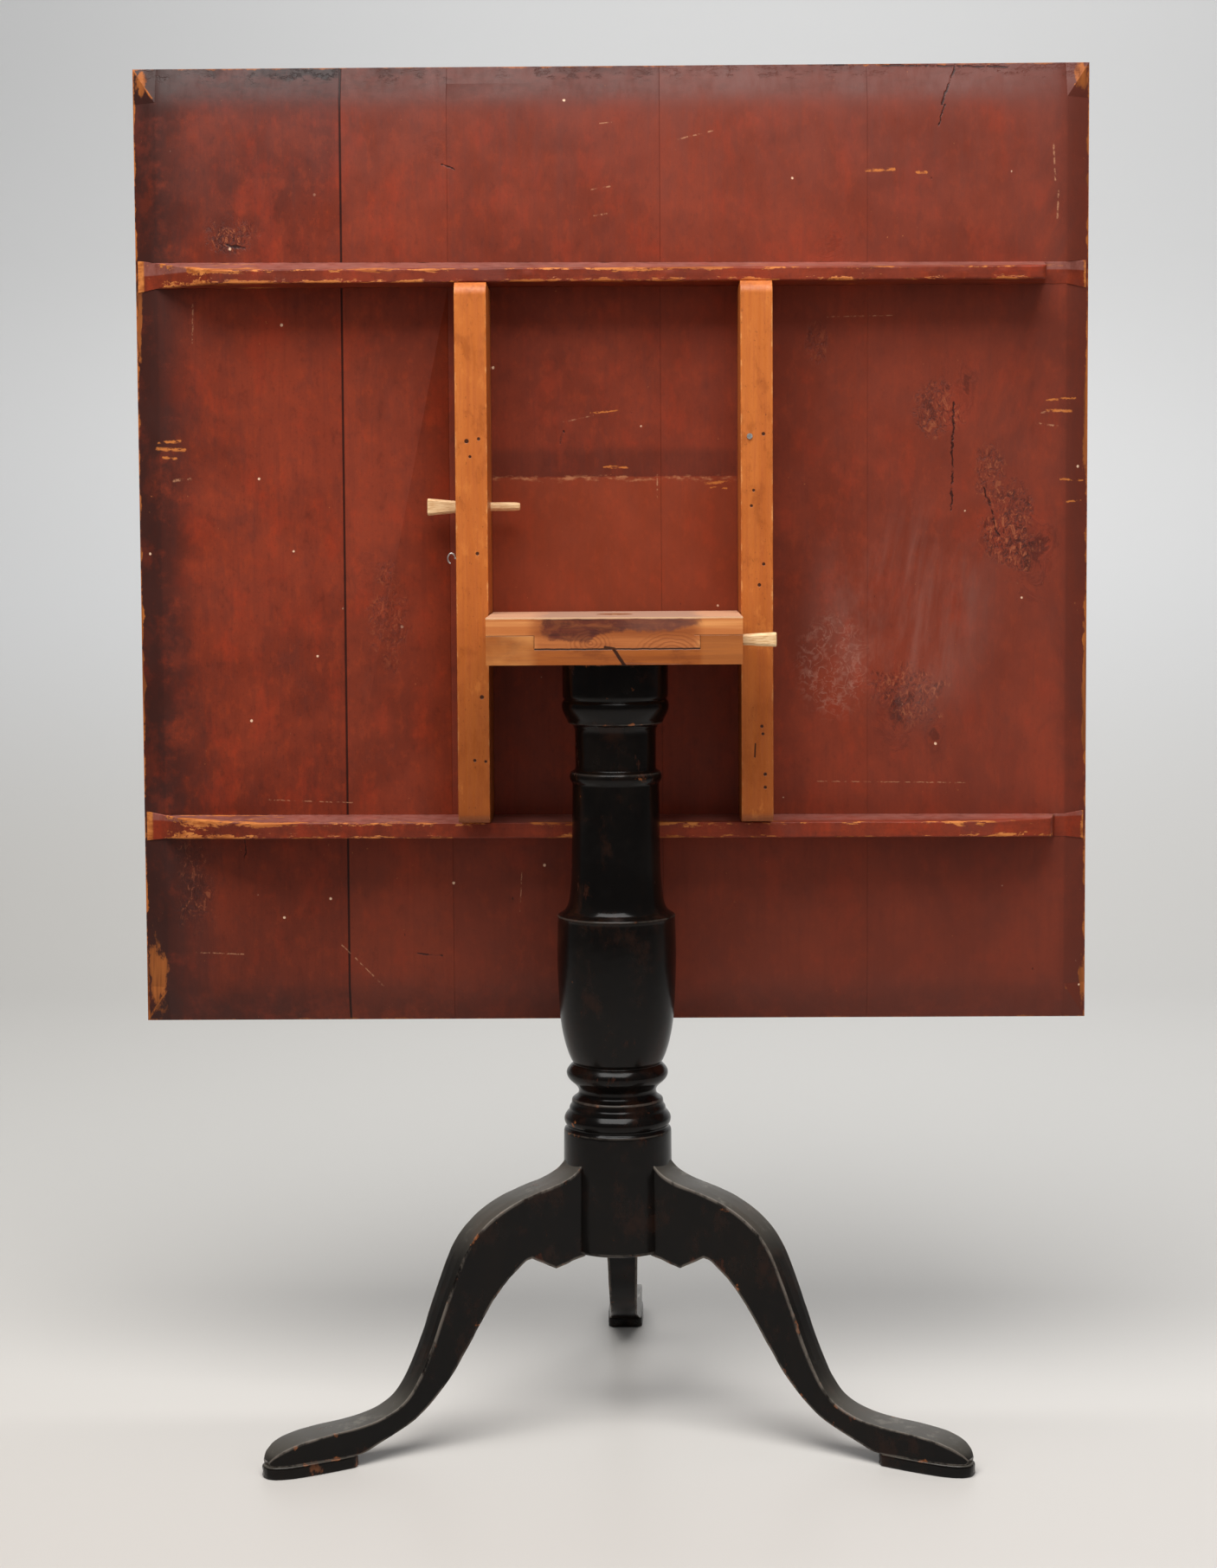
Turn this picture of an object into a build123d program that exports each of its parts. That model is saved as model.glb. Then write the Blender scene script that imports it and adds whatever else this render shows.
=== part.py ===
"""Tilt top table: a square plank top that tips up on a turned pedestal with three legs.

Millimetres, +Z up.  The origin is on the floor on the axis of the pedestal.  +Y points to
the side that the raised top stands on, and X runs along the hinge.  The top is modelled
tipped up, which is its rest position.
"""
from build123d import *
import math
import os

os.makedirs("parts", exist_ok=True)

# ---------------------------------------------------------------- driving dimensions
# hinge between block and top
PIVOT_Y = 70.0            # behind the pedestal axis
PIVOT_Z = 723.5
LEAN = 1.8                # degrees the raised top leans back
UNDERSIDE_GAP = 21.8      # hinge axis to the underside of the top

# top
TOP_W = 894.0
TOP_X = -2.1              # the top sits a little off the centre plane
TOP_UP = 530.0            # hinge axis to the upper edge, top raised
TOP_DOWN = 366.5          # hinge axis to the lower edge
TOP_T = 27.0
EDGE_T = 15.0             # thickness left at the bevelled edge
SIDE_BEVEL = 22.0
END_BEVEL = 33.0
PLANK_JOINTS = [-254.5, -155.0, 43.6, 237.1]

# battens (tapered sliding dovetails), section heights measured from the hinge
BATTEN_P = 45.0           # how far a batten stands out from the underside
TONGUE_D = 10.0           # dovetail depth in the planks
FLARE = 2.6               # dovetail flare on each side

# bearers
BEARER_IN = 115.3         # inner faces to the centre plane
BEARER_T = 29.3
BEARER_P = 81.5
BEARER_TOP = 321.0
BEARER_LOW = -175.0
END_CHAMFER = 7.5
PEG_H = 119.5             # hinge axis to the peg holes

# block on the pedestal
BLOCK_HALF = 113.6
BLOCK_FRONT = 147.0       # hinge axis to the front face
BLOCK_TOP = 21.5          # hinge axis to the top face
BLOCK_BOTTOM = 20.5
LAP_HIGH = 729.0          # lap joint between plank and cleat, at the ends
LAP_LOW = 717.0           # and between the shoulders
LAP_LEFT = -70.8
LAP_RIGHT = 76.0

# pins and pegs
PIN_R = 5.25
PIN_RUN_R = 5.31          # running hole in the bearers
PIN_IN = 77.6             # inner end of a pin from the centre plane
PEG_R = 4.0
PEG_HOLE_R = 4.06

# pedestal
TENON_R = 17.0
DRUM_BOTTOM = 160.0
LEG_T = 33.0
PAD_T = 11.0
LEG_ANGLES = {"rear": 89.0, "left": 210.0, "right": 330.0}

# ---------------------------------------------------------------- reference frames
lean = math.radians(LEAN)
up = Vector(0, math.sin(lean), math.cos(lean))
out = Vector(0, -math.cos(lean), math.sin(lean))
pivot = Vector(0, PIVOT_Y, PIVOT_Z)
under = pivot - out * UNDERSIDE_GAP
block_base = PIVOT_Z - BLOCK_BOTTOM
block_face = PIVOT_Z + BLOCK_TOP
TOP_LEFT = TOP_X - TOP_W / 2
TOP_RIGHT = TOP_X + TOP_W / 2

# local x across, local y up the board, normal out of the underside
underside = Plane(origin=under, x_dir=(1, 0, 0), z_dir=out)
# local x across, local y out of the underside
edgewise = Plane(origin=under, x_dir=(1, 0, 0), z_dir=up * -1)


def section_plane(x):
    """Plane across the top at x: local x runs up the board, local y out of its underside."""
    return Plane(origin=(x, under.Y, under.Z), x_dir=up, z_dir=(1, 0, 0))


def leg_plane(angle):
    """Upright plane through the pedestal axis: local x outward, local y up."""
    a = math.radians(angle)
    return Plane(origin=(0, 0, 0), x_dir=(math.cos(a), math.sin(a), 0),
                 z_dir=(math.sin(a), -math.cos(a), 0))


# ---------------------------------------------------------------- cutting tools
# bevel round the underside of the top: everything outside the bevelled outline
mid_h = (TOP_UP - TOP_DOWN) / 2
height = TOP_UP + TOP_DOWN
with BuildPart() as bevelled_envelope:
    with BuildSketch(underside):
        with Locations((TOP_X, mid_h)):
            Rectangle(TOP_W - 2 * SIDE_BEVEL, height - 2 * END_BEVEL)
    with BuildSketch(underside.offset(EDGE_T - TOP_T)):
        with Locations((TOP_X, mid_h)):
            Rectangle(TOP_W, height)
    loft(ruled=True)
    with BuildSketch(underside.offset(EDGE_T - TOP_T)):
        with Locations((TOP_X, mid_h)):
            RectangleRounded(TOP_W, height, 6)
    extrude(amount=-EDGE_T)

# stub tenons on the bearer ends, let into the battens
TENON_T = 12.0
with BuildPart() as stub_tenons:
    for x in (-BEARER_IN - BEARER_T / 2, BEARER_IN + BEARER_T / 2):
        with BuildSketch(section_plane(x - TENON_T / 2)):
            with Locations((BEARER_TOP + 5, 24)):
                Rectangle(22, 24)
            with Locations((BEARER_LOW + 1, 24)):
                Rectangle(18, 24)
        extrude(amount=TENON_T)

# ---------------------------------------------------------------- battens
# each end section: (low, high) at the surface and (low, high) on the face
BATTENS = {
    "upper_batten": {
        "left": (325.0, 349.4, 324.8, 337.2),
        "right": (324.2, 344.6, 324.2, 336.2),
        "outline": [(-428, 0), (-412, 14), (-370, BATTEN_P), (398, BATTEN_P), (401, 0)],
    },
    "lower_batten": {
        "left": (-191.2, -168.8, -188.0, -173.4),
        "right": (-193.2, -171.8, -189.8, -175.6),
        "outline": [(-430, 0), (-410, 17), (-372, 34), (-333, BATTEN_P),
                    (322, BATTEN_P), (370, 38), (408, 25), (412, 0)],
    },
}

battens = {}
for name, b in BATTENS.items():
    with BuildPart() as batten:
        for x, key in ((TOP_LEFT, "left"), (TOP_RIGHT, "right")):
            low, high, face_low, face_high = b[key]
            with BuildSketch(section_plane(x)):
                Polygon((low - FLARE, -TONGUE_D), (low, 0), (face_low, BATTEN_P),
                        (face_high, BATTEN_P), (high, 0), (high + FLARE, -TONGUE_D), align=None)
        loft(ruled=True)
        # the raised part stops short of the board's edges and runs out in a slope, and the
        # tongue's ends are planed down with the bevel
        with BuildSketch(edgewise.offset(-600)):
            Polygon((TOP_LEFT + 0.5, -TONGUE_D - 1), *b["outline"], (TOP_RIGHT - SIDE_BEVEL + 1, 0),
                    (TOP_RIGHT - 0.5, -TONGUE_D - 1), align=None)
        extrude(amount=1200, mode=Mode.INTERSECT)
        add(stub_tenons.part, mode=Mode.SUBTRACT)
    batten.part.label = name
    battens[name] = batten.part
    export_step(batten.part, f"parts/{name}.step")

# the trench of a batten in the planks has the tongue's own taper
with BuildPart() as trenches:
    for b in BATTENS.values():
        for x, key in ((TOP_LEFT, "left"), (TOP_RIGHT, "right")):
            low, high = b[key][:2]
            with BuildSketch(section_plane(x)):
                Polygon((low - FLARE, -TONGUE_D), (low, 0), (low, 1), (high, 1), (high, 0),
                        (high + FLARE, -TONGUE_D), align=None)
        loft(ruled=True)

# ---------------------------------------------------------------- planks
edges = [TOP_LEFT, *PLANK_JOINTS, TOP_RIGHT]
for i, (x0, x1) in enumerate(zip(edges, edges[1:]), start=1):
    with BuildPart() as plank:
        with BuildSketch(underside):
            with Locations(((x0 + x1) / 2, mid_h)):
                Rectangle(x1 - x0, height)
        extrude(amount=-TOP_T)
        add(bevelled_envelope.part, mode=Mode.INTERSECT)
        add(trenches.part, mode=Mode.SUBTRACT)
    plank.part.label = f"plank_{i}"
    export_step(plank.part, f"parts/plank_{i}.step")

# ---------------------------------------------------------------- small iron on the bearers
# a cut nail driven into the front of the right bearer
with BuildPart() as bearer_nail:
    nail_at = underside.offset(BEARER_P)
    with BuildSketch(nail_at):
        with Locations((123.5, 180)):
            Circle(2.6)
    extrude(amount=0.9)
    with BuildSketch(nail_at):
        with Locations((123.5, 180)):
            Rectangle(2.2, 2.2)
    extrude(amount=-34)
bearer_nail.part.label = "bearer_nail"
export_step(bearer_nail.part, "parts/bearer_nail.step")

# a small bent wire eye in the outer side of the left bearer
EYE_H = 71.0
EYE_P = 66.0
eye_centre = under + up * EYE_H + out * EYE_P + Vector(-BEARER_IN - BEARER_T - 5.0, 0, 0)
with BuildPart() as wire_eye:
    ring = Plane(origin=eye_centre, x_dir=(1, 0, 0), z_dir=out)
    with BuildLine(ring) as loop:
        EllipticalCenterArc((0, 0), 3.3, 4.6, start_angle=-8, arc_size=262)
    with BuildSketch(Plane(origin=loop.line @ 0, z_dir=loop.line % 0)):
        Circle(0.75)
    sweep(path=loop.line)
    with BuildSketch(Plane(origin=eye_centre + Vector(2.6, 0, 0), z_dir=(1, 0, 0))):
        Circle(0.75)
    extrude(amount=14)
wire_eye.part.label = "wire_eye"
export_step(wire_eye.part, "parts/wire_eye.step")

# ---------------------------------------------------------------- bearers
for name, x0 in (("left_bearer", -BEARER_IN - BEARER_T), ("right_bearer", BEARER_IN)):
    with BuildPart() as bearer:
        with BuildSketch(section_plane(x0)):
            Polygon((BEARER_LOW, 0), (BEARER_TOP, 0), (BEARER_TOP, BEARER_P - END_CHAMFER),
                    (BEARER_TOP - END_CHAMFER, BEARER_P), (BEARER_LOW + END_CHAMFER, BEARER_P),
                    (BEARER_LOW, BEARER_P - END_CHAMFER), align=None)
        extrude(amount=BEARER_T)
        # the lower end is scribed over the batten, then both ends get their stub tenon
        add(battens["lower_batten"], mode=Mode.SUBTRACT)
        with BuildSketch(section_plane(x0 + (BEARER_T - TENON_T) / 2)):
            with Locations((BEARER_TOP + 5, 24)):
                Rectangle(22, 24)
            with Locations((BEARER_LOW + 1, 24)):
                Rectangle(18, 24)
        extrude(amount=TENON_T)
        # hinge hole and peg hole
        with BuildSketch(section_plane(x0)):
            with Locations((0, UNDERSIDE_GAP)):
                Circle(PIN_RUN_R)
            with Locations((PEG_H, UNDERSIDE_GAP)):
                Circle(PEG_HOLE_R)
        extrude(amount=BEARER_T, mode=Mode.SUBTRACT)
        add(bearer_nail.part, mode=Mode.SUBTRACT)
        add(wire_eye.part, mode=Mode.SUBTRACT)
    bearer.part.label = name
    export_step(bearer.part, f"parts/{name}.step")

# ---------------------------------------------------------------- block on the pedestal
round_r = BLOCK_TOP
stop_a = math.radians(-15)
arc_mid = (PIVOT_Y + round_r * math.cos(math.radians(37)),
           PIVOT_Z + round_r * math.sin(math.radians(37)))
arc_end = (PIVOT_Y + round_r * math.cos(stop_a), PIVOT_Z + round_r * math.sin(stop_a))

# round the hinge the block's rear edge is a cylinder, so that the top swings clear of it
with BuildPart() as block:
    with BuildSketch(Plane.YZ.offset(-BLOCK_HALF)):
        with BuildLine():
            Polyline((arc_end[0], block_base), (PIVOT_Y - BLOCK_FRONT, block_base),
                     (PIVOT_Y - BLOCK_FRONT, block_face), (PIVOT_Y, block_face))
            ThreePointArc((PIVOT_Y, block_face), arc_mid, arc_end)
            Line(arc_end, (arc_end[0], block_base))
        make_face()
    extrude(amount=2 * BLOCK_HALF)
    # hole for the pedestal's tenon
    with BuildSketch(Plane.XY.offset(block_base)):
        Circle(TENON_R)
    extrude(amount=60, mode=Mode.SUBTRACT)
    # pin holes and peg holes in both ends
    for x, inward in ((-BLOCK_HALF, 1), (BLOCK_HALF, -1)):
        with BuildSketch(Plane.YZ.offset(x)):
            with Locations((PIVOT_Y, PIVOT_Z)):
                Circle(PIN_R)
        extrude(amount=inward * (BLOCK_HALF - PIN_IN), mode=Mode.SUBTRACT)
        with BuildSketch(Plane.YZ.offset(x)):
            with Locations((PIVOT_Y - PEG_H, PIVOT_Z)):
                Circle(PEG_HOLE_R)
        extrude(amount=inward * 56, mode=Mode.SUBTRACT)

# the plank's thicker middle fits between the raised ends of the cleat
with BuildPart() as lap:
    with BuildSketch(Plane.XZ.offset(-200)):
        Polygon((-200, LAP_HIGH), (LAP_LEFT, LAP_HIGH), (LAP_LEFT, LAP_LOW),
                (LAP_RIGHT, LAP_LOW), (LAP_RIGHT, LAP_HIGH), (200, LAP_HIGH),
                (200, 800), (-200, 800), align=None)
    extrude(amount=400)

with BuildPart() as block_plank:
    add(block.part)
    add(lap.part, mode=Mode.INTERSECT)
block_plank.part.label = "block_plank"
export_step(block_plank.part, "parts/block_plank.step")

with BuildPart() as block_cleat:
    add(block.part)
    add(lap.part, mode=Mode.SUBTRACT)
block_cleat.part.label = "block_cleat"
export_step(block_cleat.part, "parts/block_cleat.step")

# hinge pins, glued in the block and turning in the bearers
with BuildPart() as hinge_pins:
    for x in (-BEARER_IN - BEARER_T, PIN_IN):
        with BuildSketch(Plane.YZ.offset(x)):
            with Locations((PIVOT_Y, PIVOT_Z)):
                Circle(PIN_R)
        extrude(amount=BEARER_IN + BEARER_T - PIN_IN)
hinge_pins.part.label = "hinge_pins"
export_step(hinge_pins.part, "parts/hinge_pins.step")

# ---------------------------------------------------------------- locking pegs
# whittled pegs: a round shank and a flat-sided tapering handle
left_axis = pivot + up * PEG_H
right_axis = Vector(0, PIVOT_Y - PEG_H, PIVOT_Z)
PEGS = {
    # name: axis, shank tip, shoulder, handle end, handle heights at shoulder and end
    "left_peg": (left_axis, up, -88.0, -145.0, -174.3, 10.6, 16.0),
    "right_peg": (right_axis, Vector(0, 0, 1), 59.8, 114.0, 144.5, 9.6, 13.0),
}
for name, (axis, tall, tip, shoulder, end, h0, h1) in PEGS.items():
    away = 1 if end > tip else -1
    with BuildPart() as peg:
        with BuildSketch(Plane(origin=(tip, axis.Y, axis.Z), z_dir=(away, 0, 0))):
            Circle(PEG_R - 0.6)
        with BuildSketch(Plane(origin=(tip + away * 5, axis.Y, axis.Z), z_dir=(away, 0, 0))):
            Circle(PEG_R)
        loft()
        with BuildSketch(Plane(origin=(tip + away * 5, axis.Y, axis.Z), z_dir=(away, 0, 0))):
            Circle(PEG_R)
        extrude(amount=abs(shoulder - tip) - 5)
        for x, high, wide in ((shoulder, h0, 9.0), (end, h1, 10.0)):
            with BuildSketch(Plane(origin=(x, axis.Y, axis.Z), x_dir=tall, z_dir=(away, 0, 0))):
                r = Rectangle(high, wide)
                chamfer(r.vertices(), 2.2)
        loft(ruled=True)
    peg.part.label = name
    export_step(peg.part, f"parts/{name}.step")

# ---------------------------------------------------------------- legs and foot pads
# side view of a leg: (distance from the pedestal axis, height)
LEG_TOP = [(46, 244), (54, 236.5), (64, 231.5), (90, 224.5), (115, 217), (131, 209.5),
           (144, 201), (153, 193.5), (161, 184.5), (167, 174.5), (173, 162), (179, 148),
           (185, 133), (191, 117), (198, 99), (205, 83), (213, 67.5), (222, 55),
           (232, 46.5), (247, 40), (267, 36), (298, 33.8), (326, 30.8), (342, 26.2),
           (352, 19), (355.5, 13)]
LEG_UNDER = [(103, 163), (111, 157.5), (125, 146), (137, 132), (147, 117.5), (156, 103.5),
             (165, 89), (174.5, 74.5), (186, 60), (199, 46.5), (214, 34.5), (228, 26.5),
             (243, 20.5), (258, 15), (272, PAD_T)]
# plan of a leg: (distance, half width)
LEG_PLAN = [(30, 16.5), (110, 16.3), (160, 14.8), (205, 13.4), (230, 13.6), (262, 15.6),
            (302, 17), (331, 16.2), (347, 12.5), (354.5, 6.5), (356, 0)]
PAD_PLAN = [(277, 17.2), (303, 18.2), (333, 17.2), (348.5, 13.2), (355.8, 7), (357.5, 0)]
LEG_SHOULDER = 44.0
TONGUE_LOW = DRUM_BOTTOM
TONGUE_HIGH = 232.0
TONGUE_IN = 30.0


def half_plan(points):
    """Half outline in plan: a spline through the points and back along the centre line."""
    Spline(*points)
    Polyline(points[-1], (points[0][0], 0), points[0])


def dovetail(angle, high):
    """Dovetail tongue of a leg, which slides up into the pedestal from below."""
    a = math.radians(angle)
    foot = Plane(origin=(0, 0, TONGUE_LOW), x_dir=(math.cos(a), math.sin(a), 0), z_dir=(0, 0, 1))
    with BuildPart() as tongue:
        with BuildSketch(foot):
            Polygon((TONGUE_IN, -9), (TONGUE_IN, 9), (52, 6), (52, -6), align=None)
        extrude(amount=high - TONGUE_LOW)
    return tongue.part


# ---------------------------------------------------------------- pedestal
with BuildPart() as column:
    with BuildSketch(Plane.XZ):
        with BuildLine():
            # tenon, capital and neck
            Polyline((0, block_face), (TENON_R, block_face), (TENON_R, block_base),
                     (47.2, block_base), (48.2, block_base - 1.2), (48.2, 670), (46.4, 668))
            ThreePointArc((46.4, 668), (48.5, 660.5), (43.9, 649))
            Polyline((43.9, 649), (43.4, 646.4), (38.6, 644.6), (38.3, 642.5))
            ThreePointArc((38.3, 642.5), (37.2, 640.6), (36.9, 637))
            Polyline((36.9, 637), (36.8, 604), (39.2, 602.2), (40.6, 602))
            # ring
            ThreePointArc((40.6, 602), (42.3, 597), (40.4, 592))
            Line((40.4, 592), (39.6, 591.4))
            # shaft, which flares to the shoulder of the vase
            Line((39.6, 591.4), (40.9, 514))
            Spline((40.9, 514), (41.9, 497), (43.9, 482), (47.2, 474.4), (52.4, 470.6),
                   tangents=((0.017, -1), (1, -0.25)))
            ThreePointArc((52.4, 470.6), (54.2, 469.6), (54.3, 467.6))
            Line((54.3, 467.6), (53.9, 466.4))
            # vase
            Spline((53.9, 466.4), (54.6, 440), (54.3, 413), (53.0, 385), (51.2, 367),
                   (48.6, 353.5), (45.9, 344), (43.0, 336.6), (40.4, 332))
            # torus, cove and the lower torus
            ThreePointArc((40.4, 332), (46.9, 323), (40.8, 314))
            Line((40.8, 314), (39.6, 313))
            ThreePointArc((39.6, 313), (35.6, 305.5), (41.0, 299.4))
            Polyline((41.0, 299.4), (42.0, 299), (42.4, 293.4), (44.2, 292), (44.6, 288))
            ThreePointArc((44.6, 288), (49.2, 281), (46.8, 274.4))
            Polyline((46.8, 274.4), (46.6, 272.6), (49.0, 271), (49.6, 269.6))
            # drum that the legs are joined to
            Line((49.6, 269.6), (51, DRUM_BOTTOM + 1.5))
            Polyline((51, DRUM_BOTTOM + 1.5), (49.5, DRUM_BOTTOM), (0, DRUM_BOTTOM),
                     (0, block_face))
        make_face()
    revolve(axis=Axis.Z)
    for angle in LEG_ANGLES.values():
        add(dovetail(angle, TONGUE_HIGH), mode=Mode.SUBTRACT)
    # saw cut in the tenon that the wedge is driven into
    with BuildSketch(Plane.XZ):
        Polygon((-2.4, block_face + 1), (2.4, block_face + 1), (1, block_face - 32),
                (-1, block_face - 32), align=None)
    extrude(amount=TENON_R + 1, both=True, mode=Mode.SUBTRACT)
column.part.label = "column"
export_step(column.part, "parts/column.step")

with BuildPart() as tenon_wedge:
    with BuildSketch(Plane.XZ):
        Polygon((-2.4, block_face + 1), (2.4, block_face + 1), (1, block_face - 32),
                (-1, block_face - 32), align=None)
    extrude(amount=TENON_R, both=True)
    with BuildSketch(Plane.XY.offset(block_face - 40)):
        Circle(TENON_R)
    extrude(amount=40, mode=Mode.INTERSECT)
tenon_wedge.part.label = "tenon_wedge"
export_step(tenon_wedge.part, "parts/tenon_wedge.step")

with BuildPart() as drum:
    with BuildSketch(Plane.XZ):
        Polygon((0, DRUM_BOTTOM - 20), (51.02, DRUM_BOTTOM - 20), (51.02, DRUM_BOTTOM + 1.5),
                (49.62, 269.6), (0, 269.6), align=None)
    revolve(axis=Axis.Z)

for side, angle in LEG_ANGLES.items():
    a = math.radians(angle)
    floor = Plane(origin=(0, 0, 0), x_dir=(math.cos(a), math.sin(a), 0), z_dir=(0, 0, 1))
    with BuildPart() as leg:
        with BuildSketch(leg_plane(angle)):
            with BuildLine():
                Spline(*LEG_TOP)
                Spline((355.5, 13), (355.6, 12), (355.2, PAD_T))
                Line((355.2, PAD_T), LEG_UNDER[-1])
                Spline(*reversed(LEG_UNDER))
                # pointed drop beside the pedestal
                Polyline(LEG_UNDER[0], (99, 163.5), (74.5, 151), (50, 157.2),
                         (LEG_SHOULDER, 158.5), (LEG_SHOULDER, LEG_TOP[0][1]), LEG_TOP[0])
            make_face()
        extrude(amount=LEG_T / 2 + 3, both=True)
        with BuildSketch(floor):
            with BuildLine():
                half_plan(LEG_PLAN)
            make_face()
            mirror(about=Plane.XZ)
        extrude(amount=260, mode=Mode.INTERSECT)
        # the shoulder is hollowed to the drum, and the tongue goes through it
        add(drum.part, mode=Mode.SUBTRACT)
        add(dovetail(angle, TONGUE_HIGH))
    leg.part.label = f"{side}_leg"
    export_step(leg.part, f"parts/{side}_leg.step")

    with BuildPart() as pad:
        with BuildSketch(floor):
            with BuildLine():
                Polyline((272.5, 0), (272.5, 13), PAD_PLAN[0])
                Spline(*PAD_PLAN)
                Line(PAD_PLAN[-1], (272.5, 0))
            make_face()
            mirror(about=Plane.XZ)
        extrude(amount=PAD_T)
        chamfer(pad.faces().sort_by(Axis.Z)[0].edges(), 1.0)
    pad.part.label = f"{side}_foot_pad"
    export_step(pad.part, f"parts/{side}_foot_pad.step")
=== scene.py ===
"""Tilt top table: the looks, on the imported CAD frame.

Blender objects and materials are in metres, outlines and sections in millimetres. The top
has its own coordinates: x across, h up from the hinge along the leaning top, and p out of
its underside. The wear attribute of a piece is 1 on its arrises and 0 on its flats.
"""
import bmesh
import bpy
import math
from mathutils import Matrix, Vector, noise


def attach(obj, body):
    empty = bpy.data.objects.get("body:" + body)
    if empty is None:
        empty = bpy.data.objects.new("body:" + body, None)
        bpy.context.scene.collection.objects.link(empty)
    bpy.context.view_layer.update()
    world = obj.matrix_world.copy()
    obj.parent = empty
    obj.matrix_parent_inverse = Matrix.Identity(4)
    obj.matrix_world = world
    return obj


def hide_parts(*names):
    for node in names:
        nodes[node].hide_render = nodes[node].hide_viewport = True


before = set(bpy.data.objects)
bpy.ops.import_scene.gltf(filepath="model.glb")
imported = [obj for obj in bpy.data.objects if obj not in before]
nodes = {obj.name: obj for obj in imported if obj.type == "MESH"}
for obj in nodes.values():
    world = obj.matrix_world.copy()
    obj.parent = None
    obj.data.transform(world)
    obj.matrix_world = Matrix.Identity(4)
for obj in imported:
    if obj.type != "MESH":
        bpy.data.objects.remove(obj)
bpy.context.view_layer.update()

MM = 0.001
LEAN = math.radians(1.8)
UP = Vector((0, math.sin(LEAN), math.cos(LEAN)))
OUT = Vector((0, -math.cos(LEAN), math.sin(LEAN)))
PIVOT = Vector((0, 0.070, 0.7235))
UNDER = PIVOT - OUT * 0.0218      # underside of the top, level with the hinge

# the top, in mm
TOP_LEFT, TOP_RIGHT, TOP_HIGH, TOP_LOW = -449.1, 444.9, 530.0, -366.5
SIDE_BEVEL, END_BEVEL = 22.0, 33.0
BATTEN_P, TONGUE_D, FLARE = 45.0, 10.0, 2.6      # batten height, dovetail depth and flare
BEARER_IN, BEARER_T, BEARER_P = 115.3, 29.3, 81.5
BEARER_HIGH, BEARER_LOW, BEARER_CHAMFER = 321, -175, 7.5
PEG_H = 0.1195                    # from the hinge to the peg holes, m

# the top, in metres, as the materials use it
MID_X, MID_H = (TOP_LEFT + TOP_RIGHT) / 2 * MM, (TOP_HIGH + TOP_LOW) / 2 * MM
HALF_W, HALF_H = (TOP_RIGHT - TOP_LEFT) / 2 * MM, (TOP_HIGH - TOP_LOW) / 2 * MM
PLANK_JOINTS = (-0.2545, -0.155, 0.0436, 0.2371)


def on_top(x, h, p):
    """Point on the top in mm: x across, h up from the hinge, p out of the underside."""
    return UNDER + (Vector((x, 0, 0)) + UP * h + OUT * p) * MM


# ---- shader building
class Val:
    """A socket of a node tree that can be used in arithmetic."""

    def __init__(self, g, sock):
        self.g, self.sock = g, sock

    def __add__(self, o): return self.g.math("ADD", self, o)
    def __radd__(self, o): return self.g.math("ADD", o, self)
    def __sub__(self, o): return self.g.math("SUBTRACT", self, o)
    def __rsub__(self, o): return self.g.math("SUBTRACT", o, self)
    def __mul__(self, o): return self.g.math("MULTIPLY", self, o)
    def __rmul__(self, o): return self.g.math("MULTIPLY", o, self)
    def __abs__(self): return self.g.math("ABSOLUTE", self)


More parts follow.
